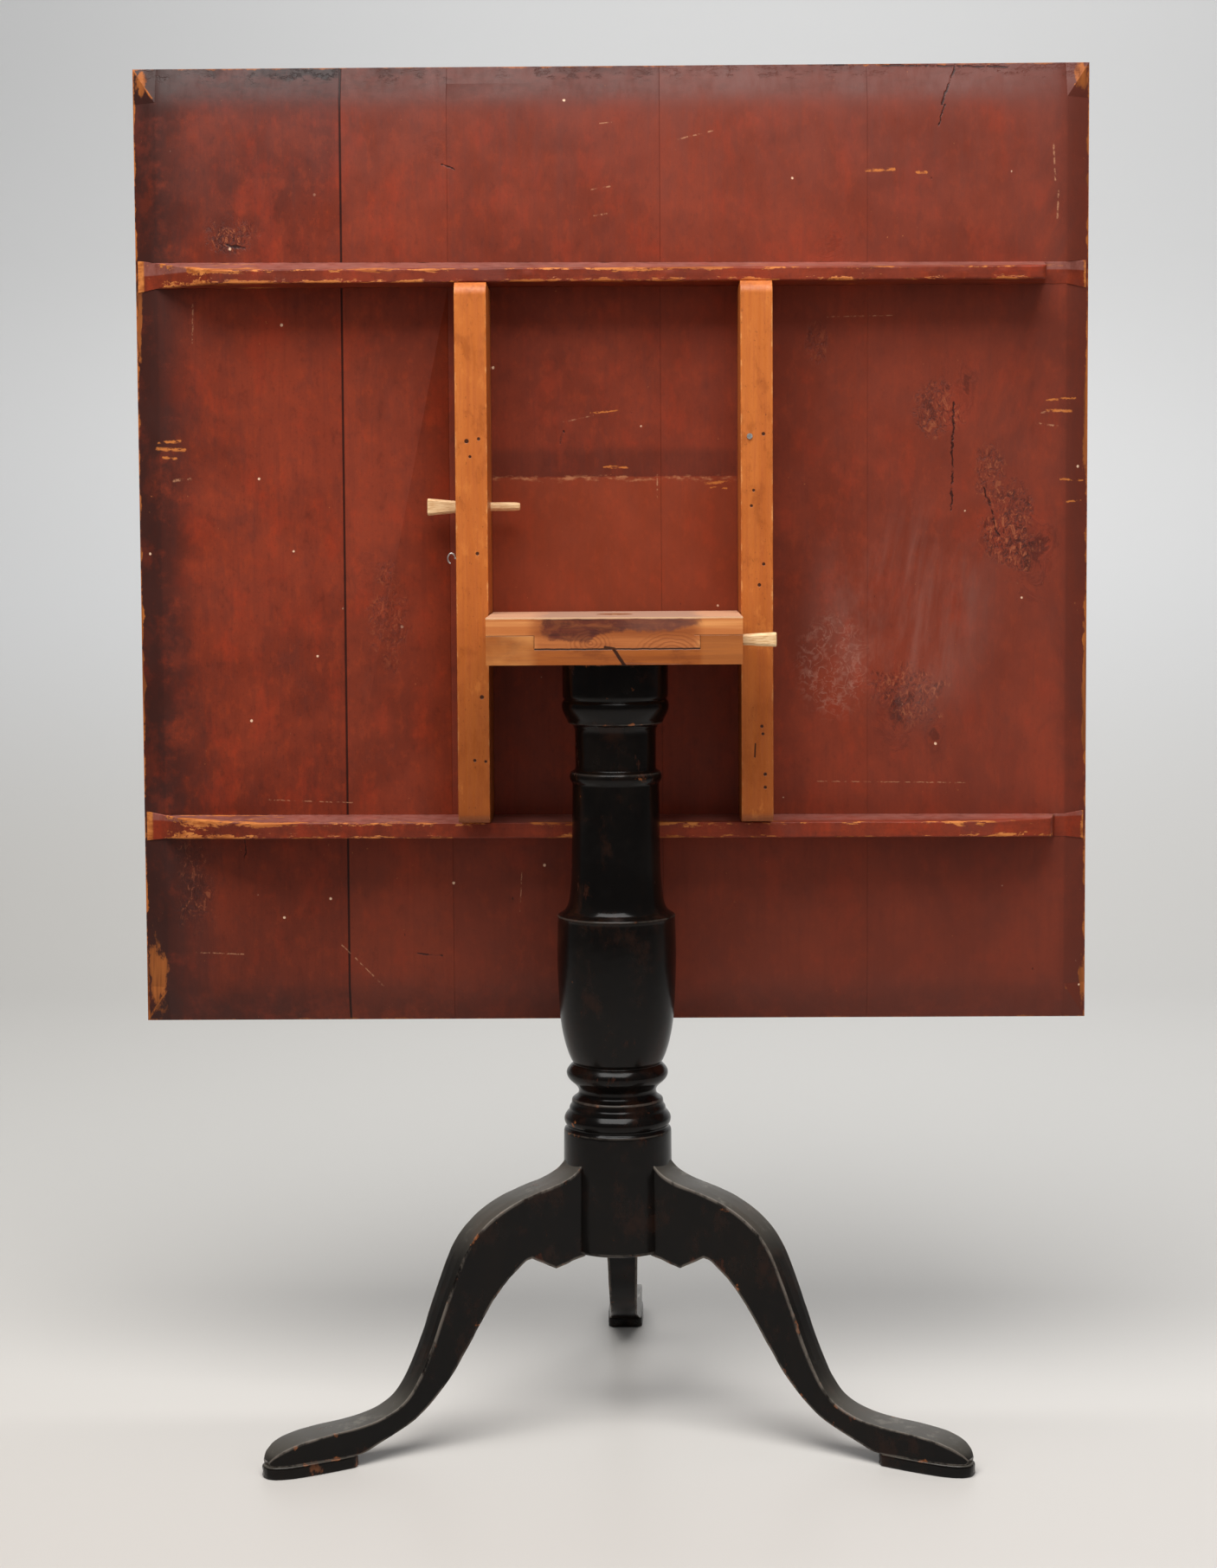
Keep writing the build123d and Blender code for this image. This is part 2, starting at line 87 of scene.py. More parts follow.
class Graph:
    """One material's node tree, with its colour, height and roughness so far."""

    def __init__(self, name):
        self.mat = bpy.data.materials.new(name)
        self.mat.use_nodes = True
        self.tree = self.mat.node_tree
        self.tree.nodes.clear()
        self.shader = self.node("ShaderNodeBsdfPrincipled")
        out = self.node("ShaderNodeOutputMaterial")
        self.tree.links.new(self.shader.outputs[0], out.inputs[0])
        self.coord = Val(self, self.node("ShaderNodeTexCoord").outputs["Object"])

    def node(self, kind, **props):
        n = self.tree.nodes.new(kind)
        for k, v in props.items():
            setattr(n, k, v)
        return n

    def plug(self, sock, value):
        if isinstance(value, Val):
            self.tree.links.new(value.sock, sock)
        elif value is not None:
            if sock.type == "RGBA" and len(value) == 3:
                value = (*value, 1)
            sock.default_value = value

    def set(self, name, value):
        self.plug(self.shader.inputs[name], value)

    def math(self, op, a, b=None):
        n = self.node("ShaderNodeMath", operation=op)
        self.plug(n.inputs[0], a)
        self.plug(n.inputs[1], b)
        return Val(self, n.outputs[0])

    def vec(self, x, y, z):
        n = self.node("ShaderNodeCombineXYZ")
        for s, v in zip(n.inputs, (x, y, z)):
            self.plug(s, v)
        return Val(self, n.outputs[0])

    def split(self, v):
        n = self.node("ShaderNodeSeparateXYZ")
        self.plug(n.inputs[0], v)
        return [Val(self, s) for s in n.outputs]

    def vmath(self, op, a, b, out=0):
        n = self.node("ShaderNodeVectorMath", operation=op)
        self.plug(n.inputs[0], a)
        self.plug(n.inputs[1], b)
        return Val(self, n.outputs[out])

    def noise(self, v, scale, detail, rough=0.55, distort=0.0):
        n = self.node("ShaderNodeTexNoise")
        self.plug(n.inputs["Vector"], v)
        for k, x in (("Scale", scale), ("Detail", detail), ("Roughness", rough), ("Distortion", distort)):
            self.plug(n.inputs[k], x)
        return Val(self, n.outputs["Fac"])

    def cells(self, v, scale, out="Distance"):
        n = self.node("ShaderNodeTexVoronoi")
        self.plug(n.inputs["Vector"], v)
        self.plug(n.inputs["Scale"], scale)
        return Val(self, n.outputs[out])

    def step(self, v, lo, hi, to_lo=0.0, to_hi=1.0):
        """Smooth step of v from lo to hi. It needs no clamp, which would cost shader stack."""
        n = self.node("ShaderNodeMapRange", interpolation_type="SMOOTHSTEP", clamp=False)
        for s, x in zip(n.inputs, (v, lo, hi, to_lo, to_hi)):
            self.plug(s, x)
        return Val(self, n.outputs[0])

    def mix(self, fac, a, b, blend="MIX"):
        n = self.node("ShaderNodeMix", data_type="RGBA", blend_type=blend)
        self.plug(n.inputs[0], fac)
        self.plug(n.inputs[6], a)
        self.plug(n.inputs[7], b)
        return Val(self, n.outputs[2])

    def coat(self, amount, red, green, blue):
        """Cover the colour so far with an sRGB colour, as far as amount says."""
        self.col = self.mix(amount, self.col, srgb(red, green, blue))

    def attr(self, name):
        return Val(self, self.node("ShaderNodeAttribute", attribute_name=name).outputs["Fac"])

    def bump(self, height, distance, strength=1.0, normal=None):
        n = self.node("ShaderNodeBump")
        n.inputs["Strength"].default_value = strength
        n.inputs["Distance"].default_value = distance
        self.plug(n.inputs["Height"], height)
        if normal is not None:
            self.plug(n.inputs["Normal"], normal)
        return Val(self, n.outputs[0])

    def top_coords(self):
        """(x, h, p) of the top in metres."""
        d = self.vmath("SUBTRACT", self.coord, tuple(UNDER))
        return (self.vmath("DOT_PRODUCT", d, (1, 0, 0), out=1),
                self.vmath("DOT_PRODUCT", d, tuple(UP), out=1),
                self.vmath("DOT_PRODUCT", d, tuple(OUT), out=1))

    def segment(self, x, y, a, b):
        """Distance from (x, y) to the segment a-b, metres."""
        ax, ay = a
        dx, dy = b[0] - ax, b[1] - ay
        length2 = dx * dx + dy * dy
        t = (x - ax) * (dx / length2) + (y - ay) * (dy / length2)
        t = self.math("MINIMUM", self.math("MAXIMUM", t, 0.0), 1.0)
        ex, ey = x - ax - t * dx, y - ay - t * dy
        return self.math("SQRT", ex * ex + ey * ey)

    def strokes(self, x, y, lines, outer, inner):
        """Mask of thin lines (x, y, x, y, half width) in mm; x and y carry the wobble."""
        mask = None
        for *ends, width in lines:
            ax, ay, bx, by = (v * MM for v in ends)
            line = self.segment(x, y, (ax, ay), (bx, by))
            line = self.step(line, width * MM * outer, width * MM * inner)
            mask = line if mask is None else self.math("MAXIMUM", mask, line)
        return mask

    def oval(self, x, y, cx, cy, rx, ry):
        """Distance from an oval's centre, 1 on its edge."""
        dx, dy = (x - cx) * (1 / rx), (y - cy) * (1 / ry)
        return self.math("SQRT", dx * dx + dy * dy)

    def most(self, values):
        out = values[0]
        for v in values[1:]:
            out = self.math("MAXIMUM", out, v)
        return out

    def finish(self, distance, strength, specular=0.5, normal=None):
        """Set the shader from the colour, roughness and height. Returns the material."""
        self.set("Base Color", self.col)
        self.set("Roughness", self.rough)
        self.set("Normal", self.bump(self.height, distance, strength, normal))
        self.set("Specular IOR Level", specular)
        return self.mat


def srgb(r, g, b):
    """Linear colour of an sRGB colour in 0-255."""
    values = (c / 255 for c in (r, g, b))
    return tuple(v / 12.92 if v <= 0.04045 else ((v + 0.055) / 1.055) ** 2.4 for v in values)


# ---- old red paint
# thin lines on the underside, in mm: (x, h) of both ends and the half width
CRACKS = ((322, 534, 306, 490, 1.0), (309, 490, 302, 470, 0.7), (155, 531, 370, 526, 0.8),
          (318, 215, 316, 115, 0.9), (-355, -170, -352, -210, 0.5), (-190, -302, -166, -304, 0.8),
          (345, 140, 360, 90, 0.8), (-160, 438, -147, 434, 0.7), (-360, 366, -345, 362, 1.1),
          (-48, 190, -50, 180, 1.0))
SCRATCHES = ((-262, -293, -222, -333, 0.6), (-90, -225, -92, -262, 0.5), (-20, 414, -3, 417, 0.8),
             (-18, 390, -6, 392, 0.8), (-12, 475, -1, 476, 0.6), (-50, 198, -20, 205, 0.6),
             (400, 205, 425, 207, 1.0), (395, 195, 415, 192, 1.0), (410, 455, 412, 420, 0.9),
             (415, 410, 414, 385, 0.9), (61, 460, 95, 468, 0.7), (200, 295, 260, 296, 0.5),
             (40, 150, 40, 125, 0.8), (-330, -155, -250, -158, 0.5), (190, -140, 330, -142, 0.5),
             (-400, -300, -355, -302, 0.6), (-394, 310, -395, 275, 0.8), (-398, 148, -418, 146, 1.4))
CHIPPED = ((405, 216.5, 432, 218.5, 1.0), (405, 207, 428, 206, 1.3), (418, 143, 440, 142, 0.9),
           (424, 122, 438, 123, 0.8), (-428, 182, -408, 183, 1.4), (-430, 176, -404, 175, 1.7),
           (-424, 168, -412, 167, 1.3), (-10, 157, 12, 156, 1.1), (85, 141, 108, 142, 1.4),
           (90, 137, 105, 136, 0.9), (-22, 207, 4, 209, 0.9), (236, 430, 262, 431, 1.6),
           (283, 428, 292, 428, 1.4), (-30, 16, -12, 20, 1.2))
# ovals on the underside, in metres: x, h, half width, half height, strength
KNOTS = ((0.395, 0.075, 0.024, 0.055, 1.0), (0.375, 0.125, 0.016, 0.03, 0.7),
         (0.262, -0.075, 0.026, 0.042, 1.0), (0.30, -0.10, 0.014, 0.022, 0.8),
         (-0.36, 0.372, 0.012, 0.018, 0.9), (-0.235, 0.055, 0.02, 0.028, 0.5),
         (-0.165, 0.452, 0.015, 0.02, 0.35), (0.33, 0.232, 0.013, 0.028, 0.8),
         (-0.31, -0.03, 0.018, 0.02, 0.4), (0.205, 0.362, 0.016, 0.022, 0.35))
LIFTED = ((0.372, 0.097, 0.024, 0.046, 1.0), (0.303, 0.205, 0.020, 0.026, 0.8),
          (0.352, 0.15, 0.016, 0.03, 0.7), (-0.357, 0.373, 0.024, 0.018, 1.0),
          (0.275, -0.055, 0.034, 0.030, 0.8), (-0.212, 0.02, 0.020, 0.050, 0.5),
          (0.19, 0.27, 0.012, 0.020, 0.5), (-0.40, -0.24, 0.018, 0.05, 0.6))
BARE_PATCHES = ((-0.439, -0.325, 0.009, 0.040), (-0.441, 0.515, 0.006, 0.012), (0.438, 0.517, 0.007, 0.012),
                (0.443, 0.2, 0.003, 0.06), (0.443, -0.05, 0.0025, 0.07), (-0.446, 0.29, 0.0025, 0.03),
                (0.442, -0.33, 0.003, 0.02))


def red_paint(name, along_batten=False):
    """Graph of old dark red paint on pine; its grain runs up the boards or along a batten."""
    g = Graph(name)
    x, h, p = g.top_coords()
    at = g.vec(x, h, p)
    # the same point, squeezed so that a pattern runs up or across the boards
    long_at, longer_at, wide_at = g.vec(x, h * 0.6, p), g.vec(x, h * 0.4, p), g.vec(x * 0.5, h, p)
    grain_at = g.vec(x * 0.06, h, p) if along_batten else g.vec(x, h * 0.06, p)
    mid = g.noise(at, 14, 5, 0.6)
    grain = g.noise(grain_at, 170, 4, 0.6)
    fine = g.noise(grain_at, 700, 2, 0.5)
    dab = g.noise(long_at, 85, 5, 0.7)
    blotch = g.noise(longer_at, 9, 5, 0.7, 0.8)
    tint = g.noise(long_at, 26, 5, 0.68)
    crumb = g.noise(at, 380, 3, 0.75)
    g.col = g.mix(g.step(g.noise(at, 3.2, 4, 0.6), 0.36, 0.66), srgb(112, 48, 32), srgb(140, 62, 42))
    g.coat(g.step(mid, 0.42, 0.72) * 0.5, 158, 66, 36)
    g.coat(g.step(blotch, 0.54, 0.74) * 0.42, 82, 38, 30)
    g.coat(g.step(dab, 0.50, 0.66) * 0.36, 166, 70, 38)
    g.coat(g.step(dab, 0.45, 0.32) * 0.30, 70, 30, 24)
    g.coat(g.step(tint, 0.50, 0.66) * 0.34, 176, 64, 34)
    g.coat(g.step(tint, 0.46, 0.34) * 0.30, 92, 50, 44)
    g.coat(g.step(crumb, 0.56, 0.70) * 0.32, 64, 28, 22)
    g.coat(g.step(grain, 0.46, 0.7) * 0.2, 84, 34, 24)
    g.col = g.mix(1.0, g.col, (0.80, 0.67, 0.61), "MULTIPLY")
    g.height = grain * 0.5 + fine * 0.25 + mid * 0.6
    g.rough = g.step(mid, 0.3, 0.7, 0.34, 0.5) + g.step(grain, 0.4, 0.7, 0.0, 0.08)
    g.places = x, h, p, at, long_at, longer_at, wide_at
    g.patterns = grain, dab, blotch, crumb
    return g


def board_dirt_and_shade(g):
    """Wear, dirt, painted shade and painted sheen by place: boards, edges, and where the block lies when the
    top is down.
    """
    x, h, p, at, _, _, wide_at = g.places
    blotch = g.patterns[2]
    # painted shade makes the lower boards browner and darker; the upper bevel is greyer, dust with a painted
    # sheen of the light from above
    g.coat(g.step(h, -0.12, -0.30) * 0.42, 78, 36, 26)
    g.coat(g.step(h, 0.34, 0.52) * g.step(blotch, 0.25, 0.6) * 0.4, 84, 56, 54)
    crust = g.noise(wide_at, 120, 5, 0.7)
    crusted = g.mix(g.step(crust, 0.44, 0.6), srgb(60, 29, 25), srgb(42, 21, 18))
    g.col = g.mix(g.step(h, 0.478, 0.512) * 0.84, g.col, crusted)
    black = g.step(h + (crust - 0.5) * 0.03, 0.517, 0.524) * g.step(blotch, 0.40, 0.56)
    g.coat(black * 0.8, 26, 18, 18)
    g.height -= black * g.step(crust, 0.5, 0.6) * 2.0
    g.coat(g.step(abs(x - MID_X), 0.4235, 0.4265) * 0.45, 60, 28, 22)
    patchy = g.noise(at, 20, 5, 0.7)
    grime = g.most([g.step(x, -0.375, -0.43), g.step(x, 0.40, 0.44) * 0.6, g.step(h, -0.315, -0.36) * 0.7])
    g.coat(grime * g.step(patchy, 0.34, 0.56) * 0.8, 46, 27, 24)
    g.coat(g.step(abs(x), 0.26, 0.42) * g.step(blotch, 0.46, 0.62) * 0.45, 60, 34, 30)
    # each plank has its own tone
    for joint, tone, amount in zip(PLANK_JOINTS, ((150, 72, 50), (96, 44, 34), (146, 66, 46), (104, 48, 38)),
                                   (0.10, 0.14, 0.10, 0.16)):
        g.coat(g.step(x, joint - 0.0004, joint + 0.0004) * amount, *tone)
    # where the block lies: less handled, redder, with a scuffed line at its edge
    wob = (g.noise(at, 60, 3) - 0.5) * 0.003
    swipe = g.noise(at, 42, 4, 0.7)
    between = g.step(abs(x), 0.1155, 0.1135)
    g.coat(between * g.step(h + wob, 0.148, 0.1465) * g.step(h, 0.0, 0.012) * 0.34, 150, 66, 36)
    g.coat(between * g.step(h + wob, 0.147, 0.1485) * g.step(h, 0.178, 0.168) * 0.4, 70, 34, 26)
    scuff = g.step(abs(h + wob * 2.0 - 0.1468 + g.step(swipe, 0.45, 0.7) * 0.004), 0.0034, 0.0004)
    scuff = scuff * between * g.step(g.noise(g.vec(x, h * 3, p), 55, 4, 0.7), 0.46, 0.62)
    g.coat(scuff * 0.75, 178, 118, 82)


def board_joints(g):
    """Lines between the planks, the first one open."""
    x, h = g.places[:2]
    line_noise = (g.noise(g.vec(0.0, h, 0.0), 7, 3) - 0.5) * 0.0012
    joints = []
    for a, depth, width in zip(PLANK_JOINTS, (1.0, 0.16, 0.24, 0.14), (0.0009, 0.0004, 0.0004, 0.0004)):
        shape = line_noise * (0.15 if depth == 1.0 else 1.0)
        joints.append(g.step(abs(x - a + shape), width * 1.7, width * 0.5) * depth)
    joint = g.most(joints)
    g.coat(joint * 0.9, 30, 12, 10)
    g.height -= joint * 3.0


def board_knots(g):
    """Knots, and the paint that has lifted round them, with painted shadow in its cracks and painted highlights
    on its raised edges.
    """
    x, h, _, at, long_at = g.places[:5]
    swirl = g.noise(at, 30, 6, 0.7, 1.2) - 0.5
    for *place, s in KNOTS:
        d = g.oval(x, h, *place) + swirl * 2.4
        rings = g.math("SINE", d * 13.0) * 0.5 + 0.5
        here = g.step(d, 1.15, 0.45)
        g.coat(here * rings * (0.26 * s), 60, 26, 24)
        g.coat(g.step(d, 0.42, 0.1) * (0.45 * s), 52, 24, 20)
        g.height += here * rings * (0.9 * s)
    ridge = g.noise(long_at, 190, 5, 0.72, 1.6)
    zone = g.most([g.step(g.oval(x, h, *place) + swirl * 3.0, 1.15, 0.5) * s for *place, s in LIFTED])
    lifted_and_shadowed = g.step(ridge, 0.50, 0.60)
    # painted shadow in the cracks of the lifted paint, then pale raised edges: bare wood with a painted
    # highlight
    g.coat(zone * lifted_and_shadowed * 0.62, 40, 19, 16)
    g.coat(zone * g.step(ridge, 0.46, 0.38) * 0.6, 166, 96, 64)
    g.height -= zone * lifted_and_shadowed * 4.5


def board_marks(g):
    """Cracks, scratches, chips, specks and pits, and greasy finger marks beside the block."""
    x, h, _, at, long_at, _, wide_at = g.places
    blotch, crumb = g.patterns[2:]
    jag = (g.noise(at, 75, 3, 0.6) - 0.5) * 0.008 + (g.noise(at, 420, 2) - 0.5) * 0.002
    crack = g.strokes(x + jag, h + jag * 0.5, CRACKS, 1.5, 0.5)
    crack = crack * g.step(g.noise(at, 90, 3, 0.7), 0.40, 0.52, 0.15, 1.0)
    g.coat(crack * 0.85, 34, 14, 12)
    g.height -= crack * 4.0
    shake = (g.noise(at, 300, 2) - 0.5) * 0.0016
    scratch = g.strokes(x + shake, h + shake, SCRATCHES, 1.3, 0.3)
    g.coat(scratch * g.step(g.noise(at, 130, 4, 0.7), 0.46, 0.58) * 0.6, 186, 134, 100)
    chipped = g.strokes(x + shake, h + shake * 1.6, CHIPPED, 1.3, 0.4)
    g.coat(chipped * g.step(g.noise(wide_at, 210, 4, 0.7), 0.42, 0.54) * 0.85, 196, 116, 56)
    speck = g.step(g.cells(at, 30) + (crumb - 0.5) * 0.04, 0.050, 0.030)
    g.coat(speck * g.step(g.cells(at, 30, out="Color"), 0.44, 0.47) * 0.9, 232, 194, 162)
    nick = g.step(g.noise(at, 210, 3, 0.7), 0.70, 0.74) * g.step(g.noise(at, 12, 3), 0.48, 0.6)
    g.coat(nick * 0.6, 190, 118, 70)
    pit = g.step(g.cells(long_at, 47), 0.05, 0.02) * g.step(g.cells(long_at, 47, out="Color"), 0.7, 0.75)
    g.coat(pit * 0.7, 46, 20, 17)
    g.height -= pit * 1.2
    touched = g.step(g.oval(x, h, 0.205, -0.03, 0.038, 0.055), 1.1, 0.55)
    prints = g.noise(at, 48, 2, 0.5, 2.2)
    ring = g.step(abs(prints - 0.52), 0.05, 0.01) * g.step(crumb, 0.36, 0.56)
    g.coat(touched * ring * 0.24, 186, 140, 122)
    g.coat(touched * g.step(g.noise(at, 120, 3, 0.6), 0.5, 0.68) * 0.22, 176, 128, 112)
    haze = g.step(g.oval(x, h, 0.27, 0.02, 0.10, 0.12), 1.1, 0.3) * g.step(blotch, 0.42, 0.7)
    g.coat(haze * 0.22, 176, 132, 120)


def bare_edges(g):
    """Mask of bare wood on the rim, in patches near the corners and on the bevel's mitres."""
    x, h, _, at, _, longer_at, _ = g.places
    from_side = HALF_W - abs(x - MID_X)
    from_end = HALF_H - abs(h - MID_H)
    chip = g.noise(at, 36, 5, 0.7)
    chip2 = g.noise(longer_at, 90, 4, 0.7)
    side = g.step(from_side - chip * 0.013 - chip2 * 0.005 + 0.0082, 0.0009, -0.0004)
    end = g.step(from_end - chip * 0.011 - chip2 * 0.005 + 0.0078, 0.0008, -0.0004)
    ragged = (chip - 0.5) * 2.6 + (chip2 - 0.5) * 2.2
    patch = g.most([g.step(g.oval(x, h, *place) + ragged, 1.05, 0.6) for place in BARE_PATCHES])
    mitre = abs(from_side - from_end * (SIDE_BEVEL / END_BEVEL) + (chip2 - 0.5) * 0.004)
    mitre = g.step(mitre, 0.0014, 0.0005) * g.step(from_end, 0.031, 0.027) * g.step(chip, 0.47, 0.53)
    return g.most([side, end * 0.5, patch * 0.75, mitre * 0.8])


def black_upper_face(g):
    """Old black paint on the upper face and the rim. Returns the mask of that face."""
    x, _, p, at, _, longer_at, _ = g.places
    grain, _, _, crumb = g.patterns
    upper = g.step(p, -0.0135, -0.0155)
    worn = g.noise(longer_at, 16, 6, 0.7)
    black = g.mix(g.step(worn, 0.46, 0.70) * 0.7, srgb(36, 28, 24), srgb(70, 42, 29))
    black = g.mix(g.step(grain, 0.5, 0.75) * 0.45, black, srgb(18, 14, 12))
    black = g.mix(g.step(crumb, 0.60, 0.72) * 0.5, black, srgb(110, 66, 42))
    black = g.mix(g.step(g.noise(at, 7, 2, 0.5), 0.52, 0.66) * 0.3, black, srgb(62, 52, 46))
    seams = g.most([g.step(abs(x - a), 0.0007, 0.0003) for a in PLANK_JOINTS])
    black = g.mix(seams * 0.9, black, srgb(10, 8, 7))
    g.height -= seams * upper * 2.0
    g.col = g.mix(upper, g.col, black)
    return upper


def board_paint(name):
    """Boards of the top: red underneath with all its marks, black above."""
    g = red_paint(name)
    x, h = g.places[:2]
    board_dirt_and_shade(g)
    board_joints(g)
    board_knots(g)
    board_marks(g)
    bare = bare_edges(g)
    upper = black_upper_face(g)
    bare = bare * (1.0 - upper * 0.72)
    wood = g.mix(g.step(g.patterns[0], 0.4, 0.7), srgb(172, 98, 44), srgb(112, 58, 26))
    g.col = g.mix(bare, g.col, wood)
    g.rough += bare * 0.25
    # the bevel's inner arris is eased, as planing and use leave it
    side = abs(x - MID_X) - (HALF_W - SIDE_BEVEL * MM)
    end = abs(h - MID_H) - (HALF_H - END_BEVEL * MM)
    drop = [(abs(d) - g.math("SQRT", d * d + w * w)) * (0.5 * slope)
            for d, slope, w in ((side, 0.545, 0.009), (end, 0.364, 0.016))]
    rounding = g.bump((drop[0] + drop[1]) * (1.0 - upper), 1.0)
    return g.finish(0.0005, 0.35, 0.2, rounding)


def batten_paint(name):
    """Battens: the same paint, worn off the arrises where the wear attribute is high."""
    g = red_paint(name, along_batten=True)
    x, h, p, at = g.places[:4]
    grain, dab = g.patterns[:2]
    wear = g.attr("wear") * g.step(p, 0.0006, 0.005)
    chip = g.noise(g.vec(x * 0.5, h * 2.0, p * 2.0), 34, 6, 0.74)
    fleck = g.noise(g.vec(x * 0.6, h * 3.0, p * 3.0), 150, 3, 0.7)
    used = g.step(g.noise(g.vec(x, 0.3, h * 0.2), 5.5, 3, 0.6), 0.36, 0.62) * g.step(x, 0.42, 0.10, 0.35, 1.0)
    used = used + g.step(x, -0.08, -0.24) * g.step(x, -0.43, -0.40) * 0.35
    bare = g.step(wear * 0.36 + used * 0.30 + (chip - 0.5) * 1.9 + (fleck - 0.5) * 1.0, 0.51, 0.60)
    patch = g.noise(g.vec(x * 0.45, h * 1.4, p * 1.4), 15, 6, 0.78)
    patch = g.step(patch, 0.64, 0.67) * g.step(fleck, 0.36, 0.5) * used
    # the paint is gone from the end grain of the tongue
    left_end = g.step(x, -0.4395, -0.4415) * g.step(chip, 0.32, 0.42)
    right_end = g.step(x + (chip - 0.5) * 0.01, 0.4395, 0.4405) * 0.8
    bare = g.most([bare, patch, left_end, right_end])
    # dust lies in the paint of the sloping upper sides
    # the sloping upper sides are painted paler: dust with a painted sheen of the light from above
    above = g.step(h, 0.3368, 0.3384) + g.step(h, -0.1750, -0.1732) * g.step(h, 0.0, -0.05)
    g.coat(above * g.step(dab, 0.30, 0.62, 0.22, 0.5), 150, 104, 96)
    g.coat(g.step(g.noise(at, 8, 4, 0.6), 0.55, 0.75) * 0.3, 92, 62, 60)
    wood = g.mix(g.step(grain, 0.36, 0.68), srgb(200, 122, 62), srgb(148, 76, 32))
    g.col = g.mix(bare, g.col, wood)
    g.height -= bare * 0.9
    g.rough += bare * 0.2
    return g.finish(0.0005, 0.5, 0.2)


# ---- pine
# holes in the bearers' front faces: x and h in metres, radius in mm
HOLES = ((-0.134, 0.177, 1.5), (-0.123, 0.179, 1.1), (-0.131, 0.163, 1.0), (-0.125, 0.075, 1.2),
         (-0.122, -0.056, 1.4), (-0.129, -0.114, 1.1), (-0.119, -0.115, 1.0), (0.136, 0.182, 1.2),
         (0.127, 0.131, 1.0), (0.125, 0.117, 1.0), (0.136, 0.064, 1.1), (0.132, 0.045, 1.2),
         (0.134, -0.084, 1.1), (0.135, -0.091, 1.0), (0.137, -0.128, 1.2), (0.137, -0.14, 1.1))


def pine(g, along, across, deep, light, dark, banding):
    """Varnished pine with long grain, on a graph. Returns bands, grain, cloud and chip."""
    at = g.vec(along * 0.05, across, deep)
    warp = g.noise(g.vec(along * 0.5, across * 2.0, deep * 2.0), 6, 3)
    bands = g.noise(g.vec(along * 0.02, across + warp * 0.006, deep), 130, 2, 0.5)
    grain = g.noise(at, 420, 4, 0.6)
    fine = g.noise(at, 1500, 2, 0.5)
    cloud = g.noise(g.vec(along * 0.6, across, deep), 12, 4, 0.6)
    chip = g.noise(g.vec(along, across, deep), 60, 4, 0.7)
    g.col = g.mix(g.step(bands, 0.34, 0.72) * banding, light, dark)
    g.col = g.mix(g.step(grain, 0.45, 0.7) * 0.35, g.col, dark)
    g.coat(g.step(cloud, 0.5, 0.8) * 0.35, 140, 66, 22)
    # pale arrises: worn wood with a painted highlight
    g.coat(g.step(g.attr("wear") + (chip - 0.5) * 1.1, 0.95, 1.2) * 0.6, 226, 160, 98)
    g.height = grain * 0.6 + fine * 0.4 + bands * 0.5
    g.rough = g.step(grain, 0.3, 0.7, 0.34, 0.5)
    return bands, grain, cloud, chip


def bearer_pine(name):
    """Bearers: browner low down, with painted shade against battens and boards, and nail and worm holes."""
    g = Graph(name)
    x, h, p = g.top_coords()
    pine(g, h, x, p, srgb(190, 106, 46), srgb(164, 80, 30), 0.45)
    g.coat(g.step(h, 0.08, -0.14) * 0.6, 120, 56, 16)
    stains = g.noise(g.vec(x, h * 0.5, p), 55, 5, 0.68)
    g.coat(g.step(stains, 0.50, 0.66) * 0.42, 132, 62, 18)
    g.coat(g.step(stains, 0.44, 0.32) * 0.30, 216, 132, 62)
    dots = g.noise(g.vec(x, h * 0.8, p), 330, 3, 0.7)
    g.coat(g.step(dots, 0.62, 0.72) * 0.5, 92, 42, 16)
    # painted shade where the bearer meets the boards and the lower batten
    g.coat(g.step(p, 0.02, 0.0) * 0.5 + g.step(h, -0.155, -0.175) * 0.35, 84, 38, 16)
    holes = [g.step(g.oval(x, h, hx, hh, 1, 1), r * 0.0016, r * 0.0011) for hx, hh, r in HOLES]
    split = g.step(g.segment(x, h, (0.128, -0.10), (0.1275, -0.112)), 0.0009, 0.0004)
    hole = g.most([*holes, split]) * g.step(p, 0.079, 0.0805)
    g.coat(hole * 0.92, 38, 16, 8)
    g.height -= hole * 4.0
    return g.finish(0.0004, 0.4, 0.28)


